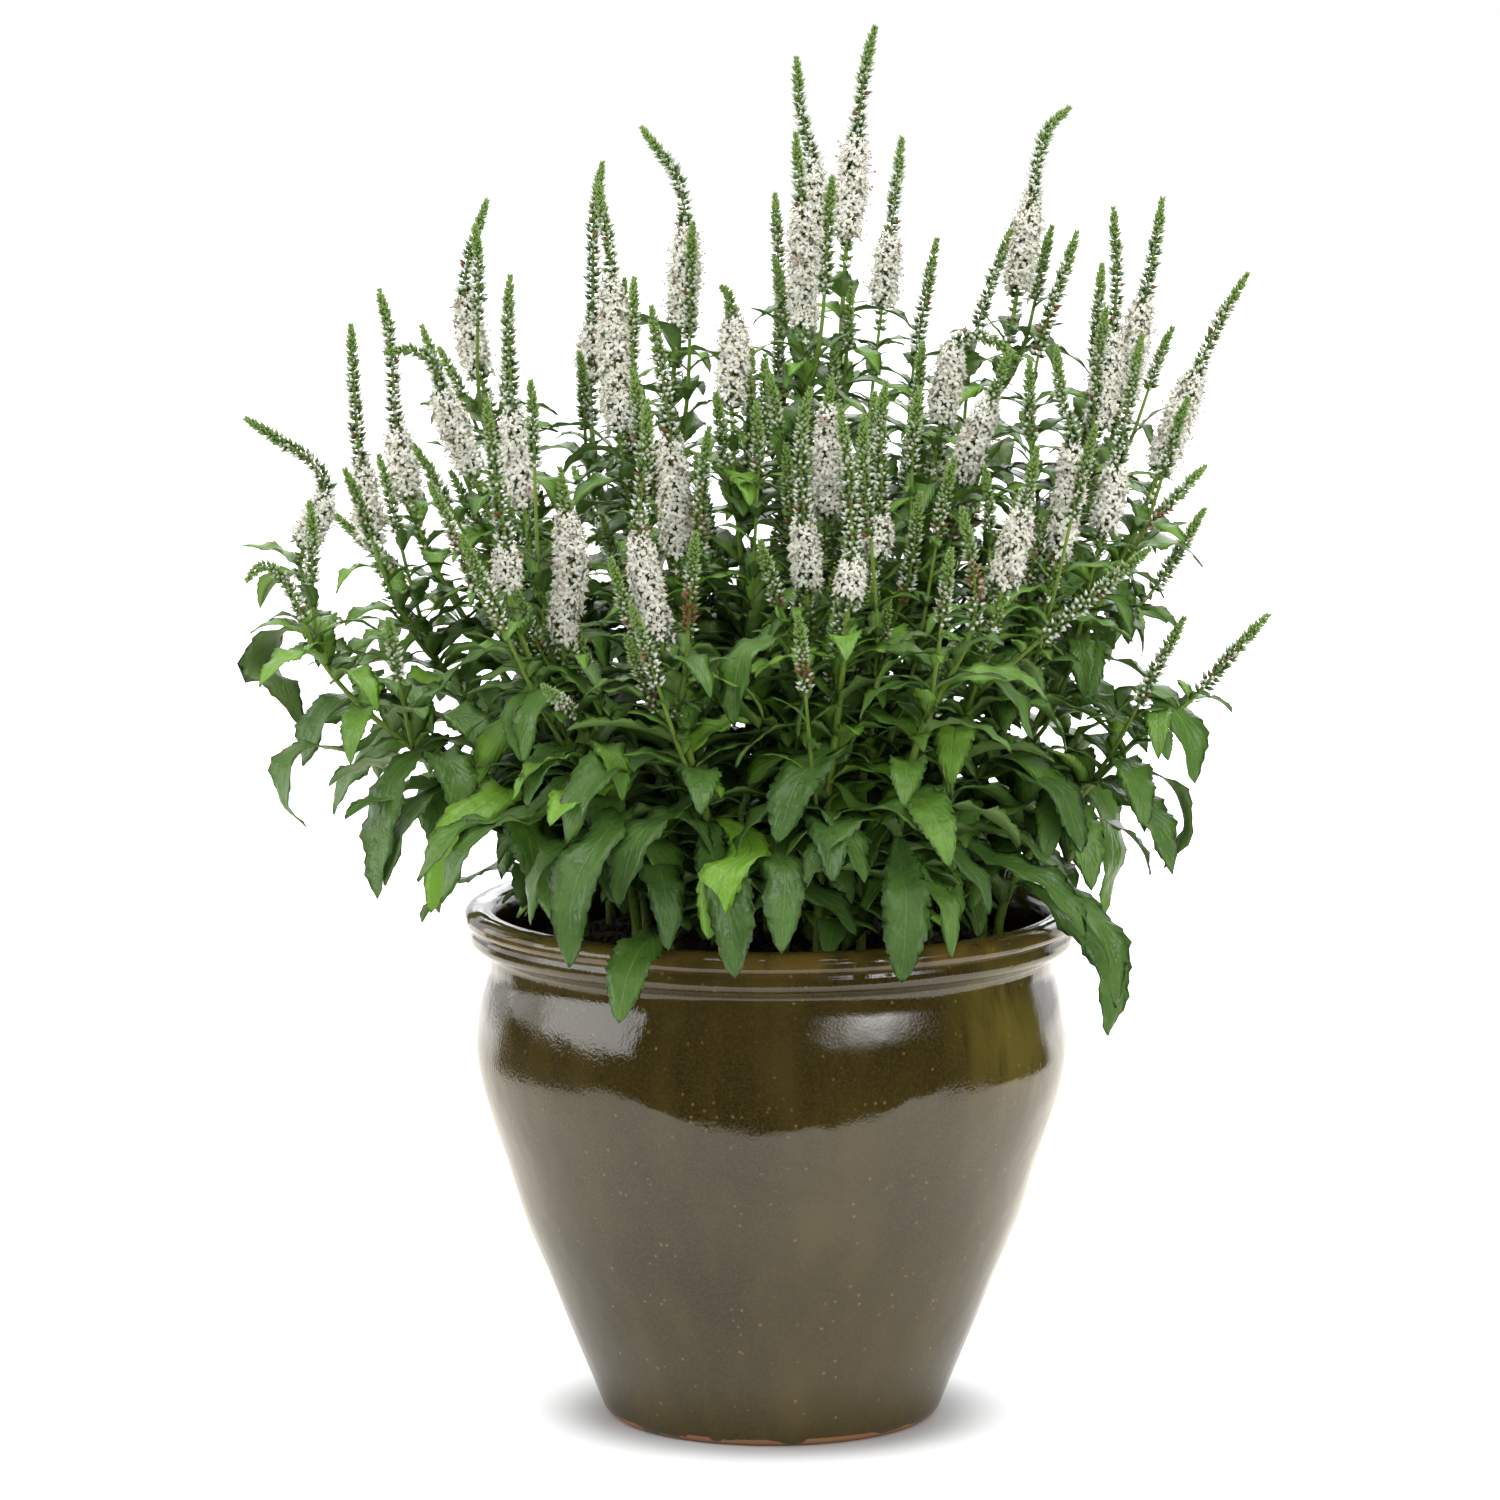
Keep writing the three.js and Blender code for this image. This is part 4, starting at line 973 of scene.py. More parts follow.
def rounded(points, step):
    """A smooth run of points through the given ones, about a step apart."""
    points = np.array(points, float)
    marks = np.concatenate([[0], np.cumsum(np.linalg.norm(np.diff(points, axis=0), axis=1))])
    slopes = np.gradient(points, marks, axis=0)
    wanted = np.linspace(0, marks[-1], max(2, int(marks[-1] / step)))
    spans = np.clip(np.searchsorted(marks, wanted, side="right") - 1, 0, len(points) - 2)
    width = (marks[spans + 1] - marks[spans])[:, None]
    t = (wanted - marks[spans])[:, None] / width
    return ((2 * t ** 3 - 3 * t ** 2 + 1) * points[spans]
            + (t ** 3 - 2 * t ** 2 + t) * width * slopes[spans]
            + (3 * t ** 2 - 2 * t ** 3) * points[spans + 1]
            + (t ** 3 - t ** 2) * width * slopes[spans + 1])


class Heap:
    """Copies of shapes that are gathered into one mesh, in millimetres."""

    def __init__(self):
        self.points = []
        self.faces = []
        self.charts = []
        self.tints = []
        self.finishes = []
        self.count = 0

    def add(self, points, faces, chart, tint, finish):
        """Points of k copies as (k, n, 3), faces of one copy, and (k, n, 2) and (k, n, 3) data."""
        copies, corners = points.shape[:2]
        shift = self.count + np.arange(copies)[:, None, None] * corners
        self.points.append(points.reshape(-1, 3))
        self.faces.append((faces[None] + shift).reshape(-1, 3))
        self.charts.append(np.broadcast_to(chart, (copies, corners, 2)).reshape(-1, 2))
        self.tints.append(np.broadcast_to(tint, (copies, corners, 3)).reshape(-1, 3))
        self.finishes.append(np.full(copies * len(faces), finish))
        self.count += copies * corners

    def make(self, name, finishes):
        """The gathered copies as one object with a UV map and a tint for each corner."""
        points = np.concatenate(self.points) * MM
        faces = np.concatenate(self.faces)
        mesh = bpy.data.meshes.new(name)
        mesh.vertices.add(len(points))
        mesh.vertices.foreach_set("co", points.ravel())
        mesh.loops.add(faces.size)
        mesh.loops.foreach_set("vertex_index", faces.ravel())
        mesh.polygons.add(len(faces))
        mesh.polygons.foreach_set("loop_start", np.arange(0, faces.size, 3))
        for finish in finishes:
            mesh.materials.append(finish)
        mesh.polygons.foreach_set("material_index", np.concatenate(self.finishes))
        mesh.update(calc_edges=True)
        chart = mesh.uv_layers.new(name="Chart")
        chart.data.foreach_set("uv", np.concatenate(self.charts)[faces.ravel()].ravel())
        tints = np.ones((len(points), 4))
        tints[:, :3] = np.concatenate(self.tints)
        tint = mesh.color_attributes.new(name="tint", type="FLOAT_COLOR", domain="POINT")
        tint.data.foreach_set("color", tints.ravel())
        mesh.shade_smooth()
        piece = bpy.data.objects.new(name, mesh)
        bpy.context.scene.collection.objects.link(piece)
        return piece


def add_stalk(heap, shape, axis, rng, start=0.0):
    """A round stalk along an axis, from its root to near the spike's tip."""
    corners, faces = shape
    at = start + corners[:, 2] * (axis.length - 1.5 - start)
    place, _, across, over = axis.line.frames(at)
    place[:, 2] -= np.clip(-at, 0, None)
    radius = axis.thickness(at)[:, None]
    points = place + (across * corners[:, :1] + over * corners[:, 1:2]) * radius
    chart = np.stack([np.arctan2(corners[:, 1], corners[:, 0]) / math.tau, at / 100], axis=1)
    tint = np.stack([np.full(len(at), rng.random()), np.zeros(len(at)), at / axis.length], axis=1)
    heap.add(points[None], faces, chart, tint, 1)


def rolled(left, up, angle):
    """Two directions across a heading, turned round it by an angle."""
    return (left * np.cos(angle) + up * np.sin(angle),
            up * np.cos(angle) - left * np.sin(angle))


def copy_tints(along, *by_copy):
    """Tints of a shape's copies: a share along the shape, then values for each copy."""
    parts = [along[None], *(part[:, None] for part in by_copy)]
    count = (len(by_copy[0]), len(along))
    return np.stack([np.broadcast_to(part, count) for part in parts], axis=2)


def add_leaf(heap, shape, leaf, look, rng):
    """A blade bent along a leaf's midrib, keeled, with rippled margins and a slight twist."""
    corners, faces = shape
    share = np.clip(corners[:, 0], 0, 1)
    across = corners[:, 1]
    slopes = unit(np.gradient(leaf.points, axis=0))
    place, tangent = (np.stack([np.interp(share, Leaf.SHARES, rows[:, k]) for k in range(3)], 1)
                      for rows in (leaf.points, slopes))
    tangent = unit(tangent)
    side = np.broadcast_to(leaf.side, tangent.shape)
    normal = unit(np.cross(tangent, side))
    twist = (rng.normal(0, 0.22) * share + rng.normal(0, 0.1))[:, None]
    side, normal = rolled(side, normal, twist)
    full = np.clip(np.sin(math.pi * share ** leaf.widest), 0, 1) ** mix(0.62, 0.85, leaf.young)
    full *= leaf.length * leaf.slender
    half = np.maximum(full, np.where(share < 0.5, 0.9, 0.12))
    waves = rng.uniform(2, 3.4) * (1.5 if len(corners) > 200 else 1)
    wave = np.sin(math.tau * (share * waves + rng.random()) + 1.3 * (across > 0))
    fold = leaf.length * 0.02 * np.sin(share * math.pi * rng.uniform(2, 4)) * across ** 2
    lift = (np.sqrt(across ** 2 + 0.03) * half * LEAF_KEEL * rng.uniform(0.4, 1.6)
            + look.ripple * half * across ** 2 * wave + fold
            + corners[:, 2] * look.thickness / MM / 2)
    points = place + side * (across * half)[:, None] + normal * lift[:, None]
    chart = np.stack([share, 0.5 + across / 2.4], axis=1)
    count = len(share)
    tint = np.stack([np.full(count, leaf.light), corners[:, 2] < 0, np.full(count, leaf.young)], 1)
    heap.add(points[None], faces, chart, tint, 0)


def add_turned(heap, shape, axis, at, lean, width, length, depth, tint, finish, rng):
    """Copies of a shape round an axis on a steady spiral, each leaning out from it."""
    corners, faces = shape
    place, tangent, across, over = axis.line.frames(at)
    angle = (np.arange(len(at)) * GOLDEN_TURN + rng.normal(0, 0.12, len(at)))[:, None]
    out = across * np.cos(angle) + over * np.sin(angle)
    lean = (lean + rng.normal(0, 0.09, len(at)))[:, None]
    ahead = unit(out * np.sin(lean) + tangent * np.cos(lean))
    left = unit(np.cross(tangent, out))
    under = np.cross(ahead, left)
    spin = rng.uniform(0, math.tau, len(at))[:, None]
    left, under = rolled(left, under, spin)
    base = place + out * depth[:, None]
    x, y, z = (corners[None, :, k:k + 1] for k in range(3))
    points = (base[:, None] + left[:, None] * x * width[:, None, None]
              + under[:, None] * y * width[:, None, None]
              + ahead[:, None] * z * length[:, None, None])
    chart = np.broadcast_to(corners[None, :, 1:3] * 0.5 + 0.5, points.shape[:2] + (2,))
    heap.add(points, faces, chart, tint, finish)


def add_buds(heap, shape, axis, start, end, look, rng, scale=1.0, spacing=1.0):
    """Whorls of buds round an axis from start to end, closer and smaller near the tip."""
    rings = []
    at = end
    while at > start:
        rings.append(at)
        crowd = mix(0.3, 1, min(1, (axis.length - at) / CROWD_OVER))
        at -= look.whorl_step / MM * spacing * crowd
    at = np.repeat(rings, WHORL) + rng.normal(0, 0.5, len(rings) * WHORL)
    left = np.clip(axis.length - at, 0, None)
    size = mix(1, 0.42, np.exp(-left / GROW_OVER)) * rng.uniform(0.85, 1.15, len(at)) * scale
    ripe = np.clip(1 - np.exp(-left / RIPEN_OVER), 0, 1) * min(1, scale) ** 3
    tint = copy_tints(np.clip(shape[0][:, 2], 0, 1), rng.random(len(at)), ripe)
    add_turned(heap, shape, axis, at, mix(*BUD_LEANS, np.exp(-left / LEAN_OVER)),
               size * look.bud_width / MM, size * look.bud_length / MM,
               0.5 * axis.thickness(at), tint, 2, rng)


def add_florets(heap, shapes, axis, start, end, look, rng, spacing=1.0, scale=1.0):
    """White florets round an axis, each with its calyx and two stamens."""
    floret, stamen, bud = shapes
    at = np.arange(start, end, look.floret_step / MM * spacing)
    at = at + rng.uniform(-0.3, 0.3, len(at)) * spacing
    done = np.clip((at - start) / (end - start), 0, 1)
    swell = 0.78 + 0.22 * np.sin(math.pi * np.clip(0.12 + done * 0.8, 0, 1))
    swell *= 1 - 0.4 * np.exp((at - end) / 6)
    size = swell * rng.uniform(0.8, 1.2, len(at)) * look.floret_size / MM * scale
    lean = mix(1.5, 1.05, done) + rng.normal(0, 0.1, len(at))
    depth = np.full(len(at), 0.9) + size * 0.12
    spent = (rng.random(len(at)) < SPENT_SHARE).astype(float)
    open_ones = rng.random(len(at)) < 0.25 + np.minimum(at - start, end - at) / 9
    for shape, share, finish, stretch in ((floret, 1, 0, 1.3), (stamen, 0.5, 1, 1.2),
                                          (stamen, 0.4, 1, 1.05)):
        keep = open_ones & (rng.random(len(at)) < share)
        along = np.clip(shape[0][:, 2], 0, 1.2) / 1.2
        tint = copy_tints(along, rng.random(keep.sum()), spent[keep])
        sway = (0 if finish == 0 else 0.2) * rng.normal(0, 1, keep.sum())
        add_turned(heap, shape, axis, at[keep], lean[keep] + sway, size[keep] * 0.64,
                   size[keep] * stretch, depth[keep], tint, finish, rng)
    if spacing == 1:
        add_buds(heap, bud, axis, start - 2, end + 2, look, rng, 1.12)


def wear(piece, slot, *nodes):
    """Puts a finished piece in the place of its nodes."""
    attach(piece, "root")
    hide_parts(*nodes)


# Finishes.

class Nodes:
    """Adds nodes to the tree of a material, a group or the world, and links them."""

    def __init__(self, tree):
        self.tree = tree

    def feed(self, socket, value):
        """Links a socket to another one, or sets it to a plain value."""
        if isinstance(value, bpy.types.NodeSocket):
            self.tree.links.new(value, socket)
        else:
            socket.default_value = value

    def put(self, kind, inputs=None, **settings):
        """Adds a node with its settings and its inputs."""
        made = self.tree.nodes.new(kind)
        for name, value in settings.items():
            setattr(made, name, value)
        for name, value in (inputs or {}).items():
            self.feed(made.inputs[name], value)
        return made

    def split(self, vector):
        return self.put("ShaderNodeSeparateXYZ", {0: vector}).outputs

    def blend(self, share, a, b):
        """A colour between a and b."""
        a, b = (end if isinstance(end, bpy.types.NodeSocket) else (*end, 1) for end in (a, b))
        return self.put("ShaderNodeMix", {0: share, 6: a, 7: b}, data_type="RGBA").outputs[2]

    def math(self, kind, a, b=0.5, c=0.5, clamp=False):
        return self.put("ShaderNodeMath", {0: a, 1: b, 2: c}, operation=kind,
                        use_clamp=clamp).outputs[0]

    def times(self, a, b):
        return self.math("MULTIPLY", a, b)

    def scaled(self, a, b, c, clamp=False):
        """a times b, plus c."""
        return self.math("MULTIPLY_ADD", a, b, c, clamp)

    def rest(self, a):
        return self.math("SUBTRACT", 1, a)

    def step_up(self, value, low, high):
        """0 below low, 1 above high, smooth between."""
        return self.put("ShaderNodeMapRange", {"Value": value, "From Min": low, "From Max": high},
                        interpolation_type="SMOOTHSTEP").outputs[0]


def mottle_group():
    """Soft cloudy patches: a mask from noise, between two limits."""
    if "Mottle" in bpy.data.node_groups:
        return bpy.data.node_groups["Mottle"]
    group = bpy.data.node_groups.new("Mottle", "ShaderNodeTree")
    group.interface.new_socket("Vector", in_out="INPUT", socket_type="NodeSocketVector")
    for name in ("Scale", "Detail", "Low", "High"):
        group.interface.new_socket(name, in_out="INPUT", socket_type="NodeSocketFloat")
    group.interface.new_socket("Mask", in_out="OUTPUT", socket_type="NodeSocketFloat")
    nodes = Nodes(group)
    source = nodes.put("NodeGroupInput").outputs
    noise = nodes.put("ShaderNodeTexNoise", {
        name: source[name] for name in ("Vector", "Scale", "Detail")})
    mask = nodes.step_up(noise.outputs["Fac"], source["Low"], source["High"])
    nodes.put("NodeGroupOutput", {"Mask": mask})
    return group


class Finish(Nodes):
    """A material: its nodes, its shader, and the place on the object that its patterns follow."""

    def __init__(self, name, **values):
        self.material = bpy.data.materials.new(name)
        self.material.use_nodes = True
        super().__init__(self.material.node_tree)
        self.place = self.put("ShaderNodeTexCoord").outputs["Object"]
        self.show(**values)

    def show(self, **values):
        """Feeds the shader's inputs; an underscore stands for a space in an input's name."""
        shader = self.tree.nodes["Principled BSDF"]
        for name, value in values.items():
            self.feed(shader.inputs[name.replace("_", " ")], value)

    def bump(self, height, distance):
        made = self.put("ShaderNodeBump", {"Height": height, "Distance": distance})
        self.show(Normal=made.outputs[0])

    def mottle(self, scale, low, high, detail=4.0, place=None):
        return self.put("ShaderNodeGroup", {
            "Vector": place or self.place, "Scale": scale, "Detail": detail, "Low": low,
            "High": high}, node_tree=mottle_group()).outputs["Mask"]

    def noise(self, scale, detail):
        return self.put("ShaderNodeTexNoise", {
            "Vector": self.place, "Scale": scale, "Detail": detail}).outputs["Fac"]

    def near(self, spot, far, close):
        """0 farther than far from a spot, 1 within close."""
        away = self.put("ShaderNodeVectorMath", {0: self.place, 1: spot}, operation="DISTANCE")
        return self.step_up(away.outputs["Value"], far, close)

    def tints(self):
        tint = self.put("ShaderNodeAttribute", attribute_name="tint").outputs["Color"]
        return self.put("ShaderNodeSeparateColor", {0: tint}).outputs[:3]


def shaded(colour, share):
    return tuple(channel * share for channel in colour)


def glaze_finish(look):
    """Olive brown glaze: clouded and streaked, with tan specks, pinholes, an amber lip, a painted
    pool of light on the right of the neck and a ragged line of bare clay round the foot."""
    skin = Finish("olive_glaze", IOR=1.62)
    height = skin.split(skin.place)[2]
    tall = skin.put("ShaderNodeMapping", {0: skin.place, 3: (1, 1, 0.16)}).outputs[0]
    clouds = skin.mottle(7, 0.36, 0.68, 3)
    streaks = skin.mottle(42, 0.42, 0.66, 5, tall)
    grain = skin.mottle(700, 0.35, 0.75, 3)
    thin = skin.scaled(streaks, 0.24, skin.scaled(clouds, 0.36, 0.14))
    colour = skin.blend(thin, look.glaze, look.thin_glaze)
    colour = skin.blend(skin.times(grain, 0.42), colour, look.thin_glaze)
    # Painted light: a lighter olive patch on the right of the neck, where the front light falls
    # squarely.
    painted_light_patch = skin.times(skin.near(PAINTED_LIGHT_PLACE, 0.062, 0.008),
                      skin.mottle(60, 0.3, 0.6, place=tall))
    colour = skin.blend(skin.times(painted_light_patch, 0.75), colour, look.painted_light_patch)
    dots = skin.put("ShaderNodeTexVoronoi", {"Vector": skin.place, "Scale": 165})
    dots = dots.outputs["Distance"]
    speck = skin.times(skin.step_up(dots, 0.19, 0.07), skin.mottle(60, 0.45, 0.62, 2))
    colour = skin.blend(skin.times(speck, 0.55), colour, look.speck)
    on_lip = skin.times(skin.step_up(height, *LIP_HEIGHTS), skin.mottle(55, 0.30, 0.62))
    colour = skin.blend(skin.times(on_lip, 0.8), colour, look.lip)
    ragged = skin.scaled(skin.mottle(45, 0.45, 0.7, 6), 0.004, height)
    bare = skin.step_up(ragged, *CLAY_HEIGHTS)
    skin.show(Base_Color=skin.blend(bare, colour, look.clay),
              Roughness=skin.scaled(grain, 0.03, skin.scaled(bare, 0.7, look.gloss)))
    coarse = skin.scaled(skin.mottle(22, 0.42, 0.66, 2), 0.035, 0.010)
    coarse = skin.scaled(skin.near(MATT_PLACE, 0.058, 0.020), 0.030, coarse)
    pits = skin.times(skin.step_up(dots, 0.02, 0.07), 0.03)
    skin.bump(skin.math("ADD", skin.noise(26.0, 2.5), skin.scaled(grain, coarse, pits)), 0.0011)
    return skin.material


def soil_finish(look):
    """Damp compost with lighter dry bits."""
    skin = Finish("potting_soil", Roughness=0.92)
    patches = skin.times(skin.mottle(30, 0.4, 0.65, 3), 0.3)
    share = skin.scaled(skin.mottle(260, 0.5, 0.66, 6), 0.6, patches, clamp=True)
    skin.show(Base_Color=skin.blend(share, look.damp, look.dry))
    skin.bump(skin.noise(330.0, 6.0), 0.0022)
    return skin.material


def leaf_finish(look):
    """Leaf green by age, chance and painted light: lighter high up, darker low in the foliage,
    with a pale midrib, side veins and a paler underside.
    """
    skin = Finish("leaf_green", Specular_IOR_Level=0.6)
    chance, under, young = skin.tints()
    chart = skin.split(skin.put("ShaderNodeUVMap", uv_map="Chart").outputs[0])
    aside = skin.math("ABSOLUTE", skin.math("SUBTRACT", chart[1], 0.5))
    rib = skin.step_up(aside, 0.026, 0.008)
    slant = skin.scaled(aside, -9.0, skin.times(chart[0], 11.0))
    between = skin.math("PINGPONG", slant, 0.5)
    veins = skin.step_up(between, 0.12, 0.0)
    quilt = skin.step_up(between, 0.0, 0.42)
    patches = skin.mottle(42, 0.38, 0.66)
    # Partly painted light and shade: the light green stands for young and lit leaves, the dark
    # green for old leaves in the shade low down.
    tone = skin.scaled(young, 0.45, skin.times(chance, 0.6))
    tone = skin.scaled(patches, 0.16, tone)
    tone = skin.scaled(skin.step_up(chance, 0.86, 0.95), 0.4, tone, clamp=True)
    colour = skin.blend(skin.step_up(tone, 0.0, 0.62), look.dark, look.middle)
    colour = skin.blend(skin.times(skin.step_up(tone, 0.62, 1.05), 0.9), colour, look.light)
    colour = skin.blend(skin.times(veins, 0.10), colour, look.rib)
    pale = skin.scaled(skin.step_up(chance, 0.3, 0.9), 0.45, 0.22)
    colour = skin.blend(skin.times(rib, pale), colour, look.rib)
    skin.show(Base_Color=skin.blend(skin.times(under, 0.6), colour, look.under),
              Roughness=skin.scaled(under, 0.25, skin.scaled(patches, 0.16, 0.30)))
    relief = skin.scaled(rib, -0.6, skin.times(skin.mottle(900, 0.3, 0.7, 3), 0.16))
    relief = skin.scaled(quilt, 0.2, relief)
    skin.bump(skin.scaled(skin.mottle(190, 0.25, 0.75, 2), 0.8, relief), 0.0005)
    return skin.material


def stalk_finish(look):
    """Ribbed light green stalk, with painted shade low down, where it blends to a darker copy of
    its green.
    """
    skin = Finish("stalk_green", Roughness=0.5)
    chance, _, height = skin.tints()
    # Painted shade: low down the green blends to a dimmed copy of itself, more on some stalks than
    # others.
    colour = skin.blend(skin.scaled(chance, 0.4, height, clamp=True),
                        shaded(look.stalk, 0.45), look.stalk)
    colour = skin.blend(skin.times(skin.mottle(220, 0.4, 0.7), 0.3), colour, look.rib)
    skin.show(Base_Color=colour)
    skin.bump(skin.mottle(1200, 0.3, 0.7), 0.0003)
    return skin.material


def bud_finish(look):
    """Buds: dark at the base, light green at the tip, nearly white where they open soon, and
    dry and brown here and there low on the plant."""
    skin = Finish("bud_green", Roughness=0.55)
    along, chance, ripe = skin.tints()
    share = skin.scaled(skin.rest(ripe), 0.75, skin.scaled(chance, 0.2, along))
    colour = skin.blend(skin.step_up(share, 0.25, 1.3), look.bud_base, look.bud_tip)
    opening = skin.times(skin.step_up(ripe, 0.38, 0.84), skin.step_up(along, 0.35, 0.7))
    opening = skin.times(opening, skin.step_up(chance, 0.15, 0.55))
    colour = skin.blend(opening, colour, look.bud_pale)
    low = skin.step_up(skin.split(skin.place)[2], *DRY_BUD_HEIGHTS)
    low = skin.times(low, skin.step_up(chance, 0.3, 0.5))
    dry = skin.times(skin.mottle(34, 0.56, 0.62, 1), low)
    dry = skin.math("MAXIMUM", dry, skin.step_up(chance, 0.95, 0.97))
    spent = skin.times(skin.step_up(ripe, 0.6, 0.8), dry)
    skin.show(Base_Color=skin.blend(spent, colour, look.bud_spent))
    skin.bump(skin.mottle(1500, 0.3, 0.7), 0.0002)
    return skin.material


def petal_finish(look):
    """White petals with a greenish throat; a spent floret is brown."""
    skin = Finish("white_petal", Roughness=0.6)
    along, chance, spent = skin.tints()
    cream = tuple(channel * share for channel, share in zip(look.petal, CREAM_SHARES))
    colour = skin.blend(skin.step_up(along, 0.12, 0.42), look.throat, look.petal)
    colour = skin.blend(skin.times(chance, 0.5), colour, cream)
    skin.show(Base_Color=skin.blend(skin.times(spent, 0.6), colour, look.bud_spent))
    skin.bump(skin.mottle(1800, 0.3, 0.7), 0.0001)
    return skin.material


def stamen_finish(look):
    """White filaments that end in beige brown anthers."""
    skin = Finish("stamen", Roughness=0.65)
    along, chance, _ = skin.tints()
    brown = skin.blend(chance, look.anther, shaded(look.anther, 0.5))
    skin.show(Base_Color=skin.blend(skin.step_up(along, 0.82, 0.86), look.petal, brown))
    skin.bump(skin.mottle(2000, 0.3, 0.7), 0.0001)
    return skin.material


def floor_finish(look):
    """Pale floor whose own glow fades round the foot, a painted soft shadow there. For glossy rays
    it
    is a painted reflection in the glaze: a warm table, dimmer on the left and near the foot, that
    ends at the sides except towards the back."""
    skin = Finish("pale_floor", Roughness=0.9, Emission_Strength=1)
    aside, back = skin.split(skin.place)[:2]
    far = skin.put("ShaderNodeVectorMath", {0: skin.place}, operation="LENGTH").outputs["Value"]
    glossy = skin.put("ShaderNodeLightPath").outputs["Is Glossy Ray"]
    grain = skin.times(skin.mottle(14, 0.2, 0.8, 3), 0.05)
    shown = skin.blend(grain, look.floor, (0.65, 0.65, 0.65))
    # Painted reflection: the floor as the glaze shows it, dimmer on the left and darker near the
    # foot.
    left, right, near_foot = (shaded(look.floor_in_glaze, share) for share in (0.66, 1.22, 0.40))
    mirrored = skin.blend(skin.step_up(aside, -1.4, 0.6), left, right)
    mirrored = skin.blend(skin.step_up(far, 0.08, 0.36), near_foot, mirrored)
    behind = skin.step_up(skin.math("DIVIDE", back, far), *BACK_HEADING)
    off_middle = skin.math("ABSOLUTE", skin.math("SUBTRACT", aside, TABLE_MIDDLE))
    on_table = skin.math("MAXIMUM", behind, skin.step_up(off_middle, *TABLE_SIDE))
    mirrored = skin.blend(on_table, (0.02, 0.02, 0.02), mirrored)
    # Painted shadow: the floor's own glow fades out round the foot.
    glow = skin.scaled(skin.step_up(far, *FOOT_SHADOW), look.floor_glow,
                       skin.step_up(far, 0.4, 2.0))
    glow = skin.scaled(glossy, look.floor_mirrored, glow)
    glow = skin.times(glow, skin.rest(skin.times(glossy, skin.rest(on_table))))
    skin.show(Base_Color=skin.blend(glossy, shown, mirrored), Emission_Color=glow)
    return skin.material


# The plant is grown once and shared by the operators.
PLANT = {}


def plant():
    if not PLANT:
        PLANT["stems"] = [grow_stem(plan, i) for i, plan in enumerate(read_stems())]
        PLANT["blooms"] = [
            axis.line.places(np.arange(axis.bloom_start, axis.bloom_end, 6))
            for stem in PLANT["stems"] for axis in all_axes(stem) if axis.flowered]
        PLANT["draped"] = draped_leaves(PLANT["stems"])
    return PLANT


def drill(pot, place):
    """Cuts a drain hole through the pot's floor."""
    bit = start_shape(bpy.ops.mesh.primitive_cylinder_add, vertices=24,
                      radius=DRAIN_RADIUS * MM, depth=0.06, location=place)
    clear_selection()
    pot.select_set(True)
    bpy.context.view_layer.objects.active = pot
    cut = pot.modifiers.new("Drain", "BOOLEAN")
    cut.operation = "DIFFERENCE"
    cut.solver = "EXACT"
    cut.object = bit
    bpy.ops.object.modifier_apply(modifier=cut.name)
    bpy.data.objects.remove(bit)


class SPEEDWELL_OT_pot(bpy.types.Operator):
    """Throws the glazed pot on the wheel, with its rolled lip and its drain holes"""

    bl_idname = "speedwell.pot"
    bl_label = "Glazed Pot"

    def execute(self, context):
        look = context.scene.speedwell_pot
        outline = [*FOOT, *rounded(BODY, 3.5), *rounded(LIP, 1.1), *rounded(INSIDE[:-2], 9),
                   *INSIDE[-2:]]
        pot = lathe("glazed_pot", outline, look.facets)
        for i in range(DRAIN_HOLES):
            angle = i / DRAIN_HOLES * math.tau
            away = DRAIN_CIRCLE * MM
            drill(pot, (away * math.cos(angle), away * math.sin(angle), 0))
        bpy.ops.object.shade_smooth_by_angle(angle=math.radians(50))
        pot.data.materials.append(glaze_finish(look))
        wear(pot, "glaze", "pot")
        return {"FINISHED"}


def crown_height(radius):
    return mix(SOIL_CROWN, SOIL_EDGE, (radius / SOIL_RADIUS) ** 2)


def strew_crumbs(look, finish):
    """Crumbs of random sizes and turns, spread evenly over the soil."""
    rng = np.random.default_rng(CRUMB_SEED)
    corners, faces = crumb_shape()
    count = look.crumbs
    radius = CRUMB_CIRCLE * np.sqrt(rng.random(count))
    angle = rng.uniform(0, math.tau, count)
    height = crown_height(radius) + 1.2
    centre = np.stack([radius * np.cos(angle), radius * np.sin(angle), height], axis=1)
    size = look.crumb_size / MM / 2 * rng.lognormal(0, 0.4, (count, 1, 1))
    shape = rng.uniform(0.6, 1.4, (count, 1, 3))
    spin = rng.uniform(0, math.tau, count)[:, None]
    turned = np.stack([
        corners[None, :, 0] * np.cos(spin) - corners[None, :, 1] * np.sin(spin),
        corners[None, :, 0] * np.sin(spin) + corners[None, :, 1] * np.cos(spin),
        np.broadcast_to(corners[None, :, 2], (count, len(corners)))], axis=2)
    heap = Heap()
    heap.add(centre[:, None] + turned * size * shape, faces, np.zeros(2), np.zeros(3), 0)
    wear(heap.make("soil_crumbs", [finish]), "compost", "soil")


